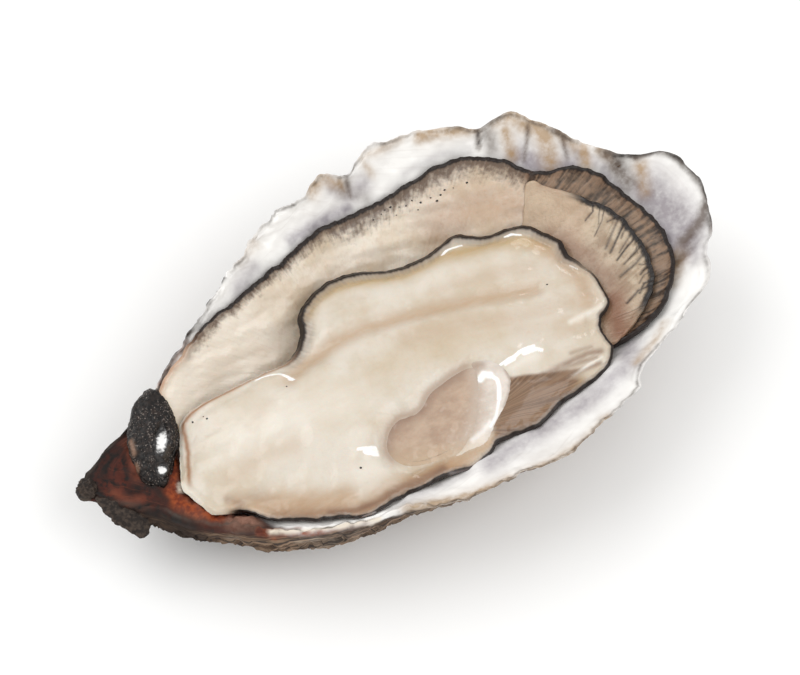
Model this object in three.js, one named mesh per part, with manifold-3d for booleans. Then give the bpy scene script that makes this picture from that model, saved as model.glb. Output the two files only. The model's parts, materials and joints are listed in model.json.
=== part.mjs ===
import * as THREE from "three";
import { mergeVertices } from "three/addons/utils/BufferGeometryUtils.js";
import Module from "manifold-3d";

// An oyster opened on its lower shell. Millimetres, +Z up.
// +X runs from the hinge to the open lip, +Y to the far side, and z = 0 is the resting surface.

const wasm = await Module();
wasm.setup();

const { clamp, lerp, smoothstep, degToRad, radToDeg, euclideanModulo } = THREE.MathUtils;
const TURN = Math.PI * 2;

// ---- fits and fineness ----
const GAP = 0.3; // clearance between neighbouring pieces
const SEAT_GAP = 0.55; // clearance over the hollow of the cup
const CURVE_STEPS = 14; // samples of a smooth outline between two knots

// Sectors round each piece, and rings from its middle to its edge.
const SHELL_SECTORS = 86;
const MANTLE_MESH = { sectors: 62, rings: 8 };
const GILL_MESH = { sectors: 36, rings: 4 };
const BODY_MESH = { sectors: 74, rings: 8 };
const MUSCLE_MESH = { sectors: 40, rings: 3 };
const PAD_MESH = { sectors: 28, rings: 4 };
const COLUMN_MESH = { sectors: 40, rings: 1 };

// ---- shell ----
const FLOOR = 3.0; // thickness under the deepest point of the cup
const BOWL = [-0.6, 0.1]; // the point in plan that the cup turns around
const LIP = 0.975; // share of the rim's radius where the inner face ends and the lip begins
const RUFFLE = { from: 0.62, to: 0.95, window: 14 }; // the rim's waves fade out into a smooth cup
const BASE_SHARE = 0.42; // radius of the flat spot underneath, as a share of the rim's
const WALL_POWER = 0.62; // how soon the outer wall swings out as it rises
const WALL_SWELL = 0.8; // outward swell of the wall at half height, all round
const KNOB_RADIUS = 1.55;
const KNOB = [-47.75, -0.9, 13.1]; // the worn tip of the beak

// Height of the hollow at a share t of the way to the rim. Most of it follows a cubic and a
// squared sine in equal parts. The deep side has a bowl, a cliff and a ledge under the lip.
const CUBIC_PART = 0.5;
const SINE_PART = 0.5;
const DEEP_BOWL = 0.2;
const CLIFF = { part: 0.56, from: 0.5, to: 0.9 };
const LEDGE = { part: 0.24, power: 8 };
const openSlope = (t) => CUBIC_PART * t ** 3 + SINE_PART * Math.sin((Math.PI / 2) * t) ** 2;
const deepSlope = (t) => DEEP_BOWL * t ** 2 + CLIFF.part * smoothstep(t, CLIFF.from, CLIFF.to)
  + LEDGE.part * t ** LEDGE.power;

// The deep side of the cup, where the inner wall stands steep and the outer wall bellies out.
const DEEP_SIDE = { angle: 226, spread: 50 };
const BELLIES = [
  { angle: 222, spread: 46, depth: 4.6 },
  { angle: 192, spread: 20, depth: 5.4 },
];

// The hinge plate: a shelf that rises gently towards the cup.
const PLATE = { x: -36.6, height: 15.2, slope: 0.13, from: -28.6, to: -38.6 };

// Crest of the rim: x, y and height.
const RIM = [
  [-48.6, -1.1, 13.0], [-47.0, 1.1, 13.5], [-42.8, 3.2, 14.5], [-38.6, 4.7, 15.8],
  [-34.0, 7.5, 17.0], [-27.0, 11.9, 18.5], [-21.9, 15.5, 19.2], [-14.9, 20.0, 20.0],
  [-7.7, 23.9, 20.5], [-3.0, 24.8, 20.4], [0.8, 26.4, 21.2], [4.2, 25.6, 20.0],
  [8.4, 27.3, 21.2], [12.0, 27.6, 21.4], [19.4, 26.1, 21.0], [25.0, 24.4, 19.9],
  [29.8, 23.5, 21.5], [33.2, 20.5, 21.0], [37.4, 15.5, 20.0], [41.6, 11.1, 20.4],
  [43.8, 10.3, 19.5], [46.6, 8.9, 20.5], [49.2, 4.9, 20.0], [49.0, -0.3, 19.5],
  [47.4, -5.1, 19.0], [45.4, -7.1, 18.5], [44.0, -10.1, 19.0], [41.8, -12.9, 18.9],
  [38.4, -14.2, 18.2], [35.2, -16.5, 18.6], [30.6, -18.3, 18.0], [28.0, -20.6, 18.4],
  [25.6, -22.8, 18.5], [18.8, -25.0, 18.0], [12.0, -27.5, 18.7], [5.7, -26.4, 17.6],
  [-2.2, -27.0, 18.0], [-10.8, -24.5, 17.8], [-19.6, -22.7, 17.3], [-28.8, -18.6, 16.6],
  [-35.8, -13.9, 15.3], [-38.8, -10.5, 14.8], [-43.6, -6.2, 14.0], [-47.2, -3.1, 13.2],
];

// ---- hinge ligament ----
const PAD_CENTRE = [-36.9, 0.4];
const PAD_EDGE = [
  [-34.9, 6.2], [-34.2, 4.8], [-34.2, 2.5], [-34.8, -0.2], [-35.8, -2.4], [-37.0, -4.8],
  [-38.4, -6.0], [-39.6, -4.8], [-40.3, -3.4], [-40.3, -1.7], [-40.0, 0.8], [-38.6, 3.0],
  [-36.6, 5.3],
];
const PAD_EDGE_HEIGHT = 15.9; // where it meets the plate, beside its centre
const PAD_RISE = 0.15; // it climbs towards the far side
const PAD_CROWN = 1.7;
const PAD_FOOT = 0.3; // how far its edge reaches down

// ---- lower mantle ----
const MANTLE_EDGE = [
  [-33.2, 6.6], [-28.7, 9.7], [-23.3, 12.7], [-16.8, 15.2], [-9.2, 18.1], [-2.9, 20.3],
  [5.5, 21.0], [13.0, 21.7], [17.4, 21.9], [22.1, 21.2], [26.4, 18.3], [28.8, 15.2],
  [30.6, 14.0], [33.1, 13.1], [36.1, 10.7], [38.3, 7.7], [40.2, 4.3], [41.5, 0.4],
  [41.2, -3.5], [40.0, -7.1], [37.4, -10.4], [34.3, -12.6], [30.0, -13.8], [21.0, -12.8],
  [10.0, -12.4], [-6.0, -12.4], [-18.0, -10.5], [-27.0, -6.5], [-32.0, -2.5], [-33.6, 1.5],
];
const MANTLE_SKIN = 0.9; // thickness at the fringe and under the other pieces
const MANTLE_PLUMP = 1.1; // added along the broad far lobe
const LOBE_END = { from: 20, to: 30 }; // the stretch in x over which the lobe thins to a skin

// ---- gills ----
const GILL_CENTRE = [27, 0];
const GILL_EDGE = [
  [28.0, 14.3], [30.6, 11.8], [34.1, 8.0], [36.7, 4.7], [37.8, -0.7], [37.2, -6.0],
  [35.2, -9.2], [31.6, -11.8], [27.2, -13.4], [24.2, -12.0], [23.0, -6.0], [22.8, 1.0],
  [23.4, 7.0], [25.6, 10.8],
];
const GILL_THICKNESS = 1.1;
const GILL_EDGE_THICKNESS = 0.7;

// ---- body ----
const BODY_CENTRE = [-1.6, -5.9];
const BODY_EDGE = [
  [-33.4, 0.0, 14.8], [-34.3, -2.1, 14.9], [-35.4, -5.0, 15.2], [-36.2, -7.3, 15.5],
  [-35.6, -9.6, 15.6], [-34.1, -12.9, 15.6], [-32.9, -13.9, 15.6], [-30.6, -13.9, 15.2],
  [-29.1, -14.3, 15.2], [-28.3, -16.0, 15.6], [-26.6, -17.9, 16.1], [-23.9, -19.0, 16.2],
  [-21.6, -20.4, 16.4], [-19.0, -21.2, 16.5], [-16.6, -22.6, 17.0], [-13.8, -22.8, 16.9],
  [-10.4, -22.1, 16.3], [-7.2, -21.8, 15.8], [-4.1, -21.5, 15.3], [-1.0, -21.5, 15.0],
  [0.9, -22.0, 15.0], [2.4, -21.6, 14.9], [4.0, -20.9, 14.8], [6.0, -19.9, 14.7],
  [9.2, -19.8, 14.7], [12.2, -20.0, 14.8], [14.1, -19.3, 14.8], [16.1, -18.4, 14.9],
  [19.5, -17.9, 15.3], [21.8, -17.6, 15.8], [23.4, -17.2, 16.2], [25.2, -16.2, 16.4],
  [26.4, -14.4, 16.4], [26.4, -12.7, 16.3], [26.5, -10.9, 15.9], [27.4, -9.2, 15.6],
  [28.7, -8.5, 15.6], [29.7, -7.3, 15.6], [29.9, -5.9, 15.5], [29.8, -4.3, 15.3],
  [29.9, -2.0, 15.1], [29.0, 0.3, 15.0], [28.1, 1.8, 15.0], [28.2, 3.2, 15.0],
  [28.3, 4.7, 15.0], [27.1, 6.5, 15.0], [25.4, 8.7, 15.0], [24.4, 9.4, 14.9],
  [21.9, 9.9, 14.8], [19.2, 10.2, 14.7], [17.0, 11.2, 14.7], [15.4, 12.2, 14.6],
  [14.0, 12.3, 14.5], [10.3, 11.2, 14.4], [5.8, 11.1, 14.4], [3.0, 11.8, 14.5],
  [0.9, 12.5, 14.8], [-2.7, 13.2, 15.0], [-6.3, 12.8, 15.0], [-9.0, 11.5, 15.0],
  [-10.8, 9.9, 14.8], [-11.7, 7.4, 14.6], [-13.5, 5.2, 14.6], [-15.6, 4.0, 14.8],
  [-19.1, 3.9, 15.0], [-24.2, 3.6, 15.0], [-28.1, 3.4, 15.0], [-30.9, 2.8, 15.0],
  [-32.4, 1.8, 14.9],
];
const CLEAR = { from: 1.16, to: 1.4 }; // it passes over the edges of what lies under it
const CROWN = 18.0; // height of the body's rounded top
const CROWN_POWER = 3.6; // how far out the top stays full before it rolls to the edge
const GROOVE = {
  path: [[-16.3, 0.5], [-13.4, 1.9], [-4.1, 3.0], [4.6, 2.3], [11.6, 0.6], [20.3, -0.9]],
  depth: 0.9,
  width: 1.8,
};
// Past this line, towards the near side, the upper fold ends and the surface steps down.
const FOLD = { start: [11.2, -12.6], end: [24.5, -16.2], drop: 0.8, run: 1.2 };
const FOLD_FADE = { in: [-0.25, 0.1], out: [0.85, 1.05] }; // shares of the line's length

// ---- adductor muscle ----
const MUSCLE_CENTRE = [1.5, -14.4];
const MUSCLE_EDGE = [
  [-9.0, -14.8], [-8.0, -13.0], [-6.6, -11.9], [-5.2, -11.5], [-3.4, -11.8], [-2.1, -11.5],
  [-0.2, -10.1], [2.1, -9.4], [5.3, -8.8], [7.1, -8.7], [9.5, -9.4], [10.8, -10.9],
  [11.1, -12.5], [10.3, -14.0], [8.7, -15.7], [6.8, -17.1], [5.2, -18.5], [4.0, -19.3],
  [1.7, -19.4], [-0.6, -19.5], [-3.4, -19.3], [-6.0, -18.9], [-7.8, -18.0], [-8.8, -16.6],
];
const MUSCLE_TOP = 16.9; // height at its centre
const MUSCLE_TILT = 0.2; // its top rises towards the far side
const MUSCLE_DOME = 0.3;
// The white catch muscle lies on the lip side of this line.
const CATCH_LINE = [
  [8.2, -6.0], [7.4, -9.0], [6.7, -11.6], [5.5, -13.8], [3.9, -15.8], [1.8, -17.4],
  [-0.6, -18.6], [-3.6, -20.6], [2.0, -26.0], [18.0, -18.0], [16.0, -5.0],
];
const CATCH_CENTRE = [9.0, -15.0];
const TOOL_TOP = 40; // cutting columns reach from the floor to well above everything

const LOOKS = {
  shell: { color: "#d8d2cc", roughness: 0.55, metalness: 0 },
  hinge_ligament: { color: "#2a2422", roughness: 0.3, metalness: 0 },
  lower_mantle: { color: "#cfb699", roughness: 0.25, metalness: 0 },
  gills: { color: "#a98e76", roughness: 0.3, metalness: 0 },
  body: { color: "#e2d3b9", roughness: 0.22, metalness: 0 },
  adductor_muscle: { color: "#b99f8c", roughness: 0.25, metalness: 0 },
  catch_muscle: { color: "#e9dfd3", roughness: 0.22, metalness: 0 },
};

// A closed smooth curve through knots, read as a radius and a height at each angle about a centre.
class Outline {
  constructor(knots, [x, y]) {
    this.x = x;
    this.y = y;
    const points = knots.map(([kx, ky, kz = 0]) => new THREE.Vector3(kx, ky, kz));
    const curve = new THREE.CatmullRomCurve3(points, true, "centripetal");
    this.samples = curve.getPoints(knots.length * CURVE_STEPS).slice(1).map((point) => ({
      angle: this.angleOf(point.x, point.y),
      radius: Math.hypot(point.x - x, point.y - y),
      height: point.z,
    }));
    this.samples.sort((a, b) => a.angle - b.angle);
  }

  angleOf(x, y) {
    return euclideanModulo(Math.atan2(y - this.y, x - this.x), TURN);
  }

  at(angle) {
    const wanted = euclideanModulo(angle, TURN);
    const found = this.samples.findIndex((sample) => sample.angle > wanted);
    const next = this.samples.at(Math.max(found, 0));
    const last = this.samples.at(found < 1 ? -1 : found - 1);
    const span = euclideanModulo(next.angle - last.angle, TURN) || TURN;
    const part = euclideanModulo(wanted - last.angle, TURN) / span;
    return {
      radius: lerp(last.radius, next.radius, part),
      height: lerp(last.height, next.height, part),
    };
  }

  // The same outline with its waves averaged out over a window of angles, in degrees.
  smoothed(window) {
    const half = degToRad(window);
    const offsets = [-1, -0.75, -0.5, -0.25, 0, 0.25, 0.5, 0.75, 1];
    const calm = Object.create(Outline.prototype);
    calm.x = this.x;
    calm.y = this.y;
    calm.samples = this.samples.map(({ angle }) => {
      const near = offsets.map((offset) => this.at(angle + offset * half));
      const mean = (key) => near.reduce((sum, one) => sum + one[key], 0) / near.length;
      return { angle, radius: mean("radius"), height: mean("height") };
    });
    return calm;
  }

  // Angle of a place, its distance from the centre as a share of the edge's, and the edge there.
  place(x, y) {
    const angle = this.angleOf(x, y);
    const edge = this.at(angle);
    return { angle, edge, share: Math.hypot(x - this.x, y - this.y) / edge.radius };
  }
}

// 1 in the middle of an angular stretch, easing to 0 at its ends.
function swell(angle, { angle: middle, spread }) {
  const away = Math.abs(euclideanModulo(radToDeg(angle) - middle + 180, 360) - 180);
  return 1 - smoothstep(away, 0, spread);
}

const rim = new Outline(RIM, BOWL);
const calmRim = rim.smoothed(RUFFLE.window);
const mantleEdge = new Outline(MANTLE_EDGE, BOWL);
const gillEdge = new Outline(GILL_EDGE, GILL_CENTRE);
const bodyEdge = new Outline(BODY_EDGE, BODY_CENTRE);
const muscleEdge = new Outline(MUSCLE_EDGE, MUSCLE_CENTRE);
const catchEdge = new Outline(CATCH_LINE, CATCH_CENTRE);
const padEdge = new Outline(PAD_EDGE, PAD_CENTRE);
const grooveCurve = new THREE.CatmullRomCurve3(
  GROOVE.path.map(([x, y]) => new THREE.Vector3(x, y, 0)), false, "centripetal");
const groovePoints = grooveCurve.getPoints(GROOVE.path.length * CURVE_STEPS);

// ---- heights of each surface over a place in plan ----

function cupInside(x, y) {
  const calm = calmRim.place(x, y);
  const wavy = rim.place(x, y);
  const ruffle = smoothstep(calm.share, RUFFLE.from, RUFFLE.to);
  const t = clamp(lerp(calm.share, wavy.share, ruffle), 0, 1);
  const height = lerp(calm.edge.height, wavy.edge.height, ruffle);
  const slope = lerp(openSlope(t), deepSlope(t), swell(calm.angle, DEEP_SIDE));
  const cup = FLOOR + (height - FLOOR) * slope;
  const plate = PLATE.height + (x - PLATE.x) * PLATE.slope;
  return lerp(plate, cup, smoothstep(x, PLATE.to, PLATE.from));
}

function mantleTop(x, y) {
  const { share } = mantleEdge.place(x, y);
  const lobe = MANTLE_PLUMP * (1 - share ** 4) * (1 - smoothstep(x, LOBE_END.from, LOBE_END.to));
  return cupInside(x, y) + SEAT_GAP + MANTLE_SKIN + Math.max(lobe, 0);
}

function gillBottom(x, y) {
  return mantleTop(x, y) + GAP;
}

function gillTop(x, y) {
  const { share } = gillEdge.place(x, y);
  return gillBottom(x, y) + lerp(GILL_THICKNESS, GILL_EDGE_THICKNESS, Math.min(share, 1) ** 4);
}

// 1 over a piece and a little past its edge, easing to 0 further out.
function over(outline, x, y) {
  return 1 - smoothstep(outline.place(x, y).share, CLEAR.from, CLEAR.to);
}

function bodyBottom(x, y) {
  const onMantle = lerp(cupInside(x, y), mantleTop(x, y), over(mantleEdge, x, y));
  return lerp(onMantle, Math.max(onMantle, gillTop(x, y)), over(gillEdge, x, y)) + GAP;
}

function grooveDepth(x, y) {
  const away = Math.min(...groovePoints.map((point) => Math.hypot(point.x - x, point.y - y)));
  return GROOVE.depth * Math.exp(-((away / GROOVE.width) ** 2));
}

function foldDrop(x, y) {
  const [x0, y0] = FOLD.start;
  const [x1, y1] = FOLD.end;
  const along = (x - x0) / (x1 - x0);
  const beyond = lerp(y0, y1, along) - y;
  const within = smoothstep(along, ...FOLD_FADE.in) * (1 - smoothstep(along, ...FOLD_FADE.out));
  return FOLD.drop * within * smoothstep(beyond, 0, FOLD.run);
}

function bodyTop(x, y) {
  const { edge, share } = bodyEdge.place(x, y);
  const full = 1 - Math.min(share, 1) ** CROWN_POWER;
  return lerp(edge.height, CROWN, full) - grooveDepth(x, y) - foldDrop(x, y) * full;
}

const padHeight = (y) => PAD_EDGE_HEIGHT + PAD_RISE * (y - PAD_CENTRE[1]);

function padTop(x, y) {
  const share = Math.min(padEdge.place(x, y).share, 1);
  return padHeight(y) + PAD_CROWN * Math.sqrt(1 - share ** 2);
}

function muscleTop(x, y) {
  const { share } = muscleEdge.place(x, y);
  const lean = (y - MUSCLE_CENTRE[1]) * MUSCLE_TILT;
  return MUSCLE_TOP + lean - MUSCLE_DOME * share ** 2;
}

// ---- solids ----

// Closes one profile for each sector into a skin. Each profile runs from above to below.
function skin(profiles, top, bottom) {
  const points = [top, ...profiles.flat(), bottom];
  const length = profiles[0].length;
  const at = (sector, step) => 1 + (sector % profiles.length) * length + step;
  const faces = [];
  profiles.forEach((profile, sector) => {
    faces.push(0, at(sector, 0), at(sector + 1, 0));
    for (let step = 0; step < length - 1; step += 1) {
      const [a, b] = [at(sector, step), at(sector, step + 1)];
      const [c, d] = [at(sector + 1, step + 1), at(sector + 1, step)];
      faces.push(a, b, c, a, c, d);
    }
    faces.push(points.length - 1, at(sector + 1, length - 1), at(sector, length - 1));
  });
  const geometry = new THREE.BufferGeometry();
  geometry.setAttribute("position", new THREE.Float32BufferAttribute(points.flat(), 3));
  geometry.setIndex(faces);
  return geometry;
}

const sectorAngles = (count) => Array.from({ length: count }, (_, i) => (i / count) * TURN);

// A soft slab inside an outline, between two height functions.
function slab(outline, { sectors, rings }, topOf, bottomOf, grow = 0) {
  const spread = (angle, share) => {
    const reach = (outline.at(angle).radius + grow) * share;
    return [outline.x + reach * Math.cos(angle), outline.y + reach * Math.sin(angle)];
  };
  const steps = Array.from({ length: rings }, (_, i) => Math.sin((Math.PI / 2) * ((i + 1) / rings)));
  const profiles = sectorAngles(sectors).map((angle) => {
    const places = steps.map((share) => spread(angle, share));
    const above = places.map(([x, y]) => [x, y, topOf(x, y)]);
    const below = places.map(([x, y]) => [x, y, bottomOf(x, y)]);
    return [...above, ...below.reverse()];
  });
  const { x, y } = outline;
  return skin(profiles, [x, y, topOf(x, y)], [x, y, bottomOf(x, y)]);
}

function wallRadius(angle, rise) {
  const belly = BELLIES.reduce((sum, one) => sum + one.depth * swell(angle, one), WALL_SWELL);
  const flare = BASE_SHARE + (1 - BASE_SHARE) * rise ** WALL_POWER;
  return rim.at(angle).radius * flare + belly * 4 * rise * (1 - rise);
}

function shellGeometry() {
  const insideSteps = [0.14, 0.28, 0.41, 0.52, 0.62, 0.71, 0.79, 0.86, 0.92, LIP];
  const wallSteps = [1, 0.94, 0.82, 0.67, 0.5, 0.33, 0.18, 0.07, 0];
  const profiles = sectorAngles(SHELL_SECTORS).map((angle) => {
    const { radius, height } = rim.at(angle);
    const put = (reach, z) => [BOWL[0] + reach * Math.cos(angle), BOWL[1] + reach * Math.sin(angle), z];
    const inside = insideSteps.map((share) => {
      const [x, y] = put(radius * share, 0);
      return [x, y, cupInside(x, y)];
    });
    const wall = wallSteps.map((rise) => put(wallRadius(angle, rise), rise * height));
    return [...inside, ...wall];
  });
  return skin(profiles, [...BOWL, cupInside(...BOWL)], [...BOWL, 0]);
}

function ligamentGeometry() {
  const seat = (x, y) => Math.max(padHeight(y) - PAD_FOOT, cupInside(x, y) + GAP);
  return slab(padEdge, PAD_MESH, padTop, seat);
}

// ---- booleans ----

function solidOf(geometry) {
  const bare = geometry.clone();
  bare.deleteAttribute("normal");
  bare.deleteAttribute("uv");
  const merged = mergeVertices(bare, 1e-4);
  return new wasm.Manifold(new wasm.Mesh({
    numProp: 3,
    vertProperties: new Float32Array(merged.attributes.position.array),
    triVerts: new Uint32Array(merged.index.array),
  }));
}

function geometryOf(solid) {
  const { vertProperties, triVerts } = solid.getMesh();
  const geometry = new THREE.BufferGeometry();
  geometry.setAttribute("position", new THREE.Float32BufferAttribute(vertProperties, 3));
  geometry.setIndex([...triVerts]);
  return geometry;
}

const column = (outline, grow) => solidOf(slab(outline, COLUMN_MESH, () => TOOL_TOP, () => -1, grow));

function makeShell() {
  const knob = new THREE.IcosahedronGeometry(KNOB_RADIUS, 2).translate(...KNOB);
  return geometryOf(solidOf(shellGeometry()).add(solidOf(knob)));
}

function makeMeat() {
  const muscleWay = column(muscleEdge, GAP);
  const onShell = (x, y) => cupInside(x, y) + SEAT_GAP;
  const mantle = solidOf(slab(mantleEdge, MANTLE_MESH, mantleTop, onShell));
  const gills = solidOf(slab(gillEdge, GILL_MESH, gillTop, gillBottom));
  const body = solidOf(slab(bodyEdge, BODY_MESH, bodyTop, bodyBottom));
  const muscle = solidOf(slab(muscleEdge, MUSCLE_MESH, muscleTop, onShell));
  return {
    lower_mantle: geometryOf(mantle.subtract(muscleWay)),
    gills: geometryOf(gills),
    body: geometryOf(body.subtract(muscleWay)),
    adductor_muscle: geometryOf(muscle.subtract(column(catchEdge, GAP))),
    catch_muscle: geometryOf(muscle.intersect(column(catchEdge, 0))),
  };
}

const oyster = new THREE.Group();
const pieces = { shell: makeShell(), hinge_ligament: ligamentGeometry(), ...makeMeat() };
for (const [name, geometry] of Object.entries(pieces)) {
  geometry.computeVertexNormals();
  const mesh = new THREE.Mesh(geometry, new THREE.MeshStandardMaterial(LOOKS[name]));
  mesh.name = name;
  oyster.add(mesh);
}

export default oyster;
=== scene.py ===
# %% [markdown]
# # An oyster on the half shell
#
# A raw oyster lies in its cupped lower shell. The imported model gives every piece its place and
# its size, as a plain solid. This script models each piece again with its folds, layers and
# frills, gives it a finish, and hides the plain solid that it stands for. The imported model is
# loaded first, because everything else is placed by it.

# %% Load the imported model
import json
import math

import bmesh
import bpy
import numpy as np
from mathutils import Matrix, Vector

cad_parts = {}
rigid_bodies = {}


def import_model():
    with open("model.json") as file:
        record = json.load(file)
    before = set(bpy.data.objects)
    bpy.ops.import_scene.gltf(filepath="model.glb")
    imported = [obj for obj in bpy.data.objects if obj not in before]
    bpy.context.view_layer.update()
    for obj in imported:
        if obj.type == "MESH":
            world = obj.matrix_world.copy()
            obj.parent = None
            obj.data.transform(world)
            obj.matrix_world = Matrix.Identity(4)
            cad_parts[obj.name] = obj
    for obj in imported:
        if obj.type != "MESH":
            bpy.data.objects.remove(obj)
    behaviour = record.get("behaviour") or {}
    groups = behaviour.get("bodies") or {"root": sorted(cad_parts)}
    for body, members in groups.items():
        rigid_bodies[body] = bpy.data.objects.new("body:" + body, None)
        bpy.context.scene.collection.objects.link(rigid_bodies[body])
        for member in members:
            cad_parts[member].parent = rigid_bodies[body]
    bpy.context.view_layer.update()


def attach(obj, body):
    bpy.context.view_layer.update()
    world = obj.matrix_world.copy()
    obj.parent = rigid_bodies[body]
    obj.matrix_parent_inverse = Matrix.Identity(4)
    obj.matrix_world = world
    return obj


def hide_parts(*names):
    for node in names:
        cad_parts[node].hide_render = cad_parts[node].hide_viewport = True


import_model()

# %% [markdown]
# ## Working in millimetres
#
# An oyster is some 10 cm long, so its shapes are worked out in millimetres and turned into metres
# only when a mesh is made. Whole arrays of points are handled at once with NumPy. Four small
# functions do most of the blending: a straight mix, a stretch of a longer run, a soft step, and a
# bell that marks a line where a value comes close to its middle.

# %% Small sums that are used everywhere
MM = 0.001
TURN = 2 * math.pi


def mix(a, b, share):
    return a + (b - a) * share


def stretch(value, start, end):
    """How far a value has come from start to end, held between 0 and 1."""
    return np.clip((value - start) / (end - start), 0, 1)


def soft_step(value, start, end):
    run = stretch(value, start, end)
    return run * run * (3 - 2 * run)


def bell(value, middle, width):
    """1 where a value is at the middle, fading away over about the width on both sides."""
    return np.exp(-(((value - middle) / width) ** 2))


# %% [markdown]
# ## Random relief
#
# Nothing on an oyster is smooth or regular. A noise texture belongs to a material, and this script
# has to move vertices, so relief comes from a sum of sine waves in random directions. The random
# numbers are drawn from a seed, so the oyster is the same oyster on every run. Most surfaces need
# waves of two or three sizes at once, and these are added up in one call.

# %% Uneven relief from seeded waves
WAVES = 24


def uneven(points, size, seed, octaves=3):
    """Random heights, mostly from -1 to 1, whose widest bumps are about size millimetres apart."""
    dice = np.random.default_rng(seed)
    pitch = TURN / size / math.sqrt(3)
    heights = np.zeros(len(points))
    for octave in range(octaves):
        waves = dice.normal(size=(points.shape[1], WAVES)) * pitch * 2 ** octave
        phases = dice.uniform(0, TURN, WAVES)
        waviness = np.sin(points @ waves + phases).sum(axis=1)
        heights += waviness * math.sqrt(0.5 / WAVES) * 0.5 ** octave
    return heights


def rough(points, *layers):
    """Uneven relief in layers: each is its height, then the size and the seed of its waves."""
    return sum(height * uneven(points, *layer) for height, *layer in layers)


# %% [markdown]
# ## Outlines as a radius at each angle
#
# Seen from above, the shell and every soft piece is a closed wavy outline. A smooth curve through
# a few knots gives it, and reading that curve as a radius at each angle about a middle point
# makes it easy to fill: a point's share of that radius says how far out it lies, 0 in the middle
# and 1 on the edge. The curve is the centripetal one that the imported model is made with, so the
# two agree.

# %% The outline class
class Outline:
    """A closed smooth curve through knots, read as a radius and a height at each angle."""

    STEPS = 12
    CALM_SAMPLES = 9

    def __init__(self, knots, centre, ragged=0.0, ragged_size=2.5, seed=1):
        knots = np.array([(*knot, 0.0)[:3] for knot in knots])
        before, after, later = (np.roll(knots, shift, axis=0) for shift in (1, -1, -2))
        gaps = [self.gap(a, b) for a, b in ((before, knots), (knots, after), (after, later))]
        leave = (knots - before) / gaps[0] - (after - before) / (gaps[0] + gaps[1])
        leave = (leave + (after - knots) / gaps[1]) * gaps[1]
        arrive = (after - knots) / gaps[1] - (later - knots) / (gaps[1] + gaps[2])
        arrive = (arrive + (later - after) / gaps[2]) * gaps[1]
        s = (np.arange(self.STEPS) / self.STEPS)[:, None, None]
        curve = knots * (2 * s ** 3 - 3 * s ** 2 + 1) + leave * (s ** 3 - 2 * s ** 2 + s)
        curve = curve + after * (3 * s ** 2 - 2 * s ** 3) + arrive * (s ** 3 - s ** 2)
        curve = curve.swapaxes(0, 1).reshape(-1, 3)
        self.centre = np.array(centre, dtype=float)
        away = curve[:, :2] - self.centre
        reach = np.hypot(*away.T)
        if ragged:
            reach = reach + ragged * uneven(curve, ragged_size, seed, octaves=2)
        self.keep(np.arctan2(away[:, 1], away[:, 0]), reach, curve[:, 2])

    @staticmethod
    def gap(a, b):
        return np.linalg.norm(a - b, axis=1, keepdims=True) ** 0.5

    def keep(self, angles, radii, heights):
        order = np.argsort(angles % TURN)
        self.angles = (angles % TURN)[order]
        self.radii = radii[order]
        self.heights = heights[order]

    def radius(self, angle):
        return np.interp(angle, self.angles, self.radii, period=TURN)

    def height(self, angle):
        return np.interp(angle, self.angles, self.heights, period=TURN)

    def angle(self, x, y):
        return np.arctan2(y - self.centre[1], x - self.centre[0])

    def share(self, x, y):
        reach = np.hypot(x - self.centre[0], y - self.centre[1])
        return reach / self.radius(self.angle(x, y))

    def at(self, angle, share=1.0):
        """The place in plan at a share of the radius."""
        reach = self.radius(angle) * share
        return self.centre[0] + reach * np.cos(angle), self.centre[1] + reach * np.sin(angle)

    def calmed(self, window):
        """The same outline with its waves averaged out over a window of degrees on each side."""
        calm = object.__new__(Outline)
        calm.centre = self.centre
        window = np.radians(window) * np.linspace(-1, 1, self.CALM_SAMPLES)
        near = self.angles + window[:, None]
        calm.keep(self.angles, self.radius(near).mean(axis=0), self.height(near).mean(axis=0))
        return calm

    def path(self):
        """The outline as a closed row of places in plan."""
        places = np.column_stack(self.at(self.angles))
        return np.vstack([places, places[:1]])


NO_LENGTH = 1e-12


def distance_to(points, path):
    """How far each point is, in plan, from the nearest place on a path or from a single place."""
    path = np.array(path if len(path) > 1 else [*path, *path], dtype=float)
    plan = points[:, :2]
    nearest = np.full(len(points), np.inf)
    for start, end in zip(path[:-1], path[1:]):
        run = end - start
        along = np.clip((plan - start) @ run / max(run @ run, NO_LENGTH), 0, 1)
        away = plan - start - along[:, None] * run
        nearest = np.minimum(nearest, np.hypot(away[:, 0], away[:, 1]))
    return nearest


def strokes(points, rows):
    """Soft brush strokes: each row is a path in plan, a half width and a strength from 0 to 1."""
    paint = np.zeros(len(points))
    for path, width, strength in rows:
        paint = np.maximum(paint, strength * bell(distance_to(points, path), 0, width))
    return paint


# %% [markdown]
# ## Blank meshes to shape
#
# Every piece here is a closed lump with fine relief, so it starts from one of two dense blanks. A
# ball has rows that run from a pole on top to a pole below: it becomes a slab, a bowl or a pad
# once each vertex is moved to its own place. The body has a hole where the muscle comes through,
# and a ball has none, so it starts from a ring. Blender's own sphere and spin slow down badly at
# this many vertices, so both blanks are a grid, which is made at once, rolled up and sewn along
# its seams. A vertex is known by its angle round the upright axis and by its row, 0 to 1.

# %% The two blanks
RING_TUBE = 0.4
SEWING_REACH = 1e-6
SAME_PLACE = 1e-9


def rolled_grid(sectors, rows, roll):
    """A grid whose corners run over a turn and over 0 to 1, rolled up by a function and sewn."""
    shape = bmesh.new()
    bmesh.ops.create_grid(shape, x_segments=sectors, y_segments=rows, size=1)
    for vertex in shape.verts:
        vertex.co = roll(vertex.co.x * math.pi, (vertex.co.y + 1) / 2)
    bmesh.ops.remove_doubles(shape, verts=shape.verts[:], dist=SEWING_REACH)
    unit = np.array([vertex.co for vertex in shape.verts])
    return shape, unit, np.arctan2(unit[:, 1], unit[:, 0])


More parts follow.
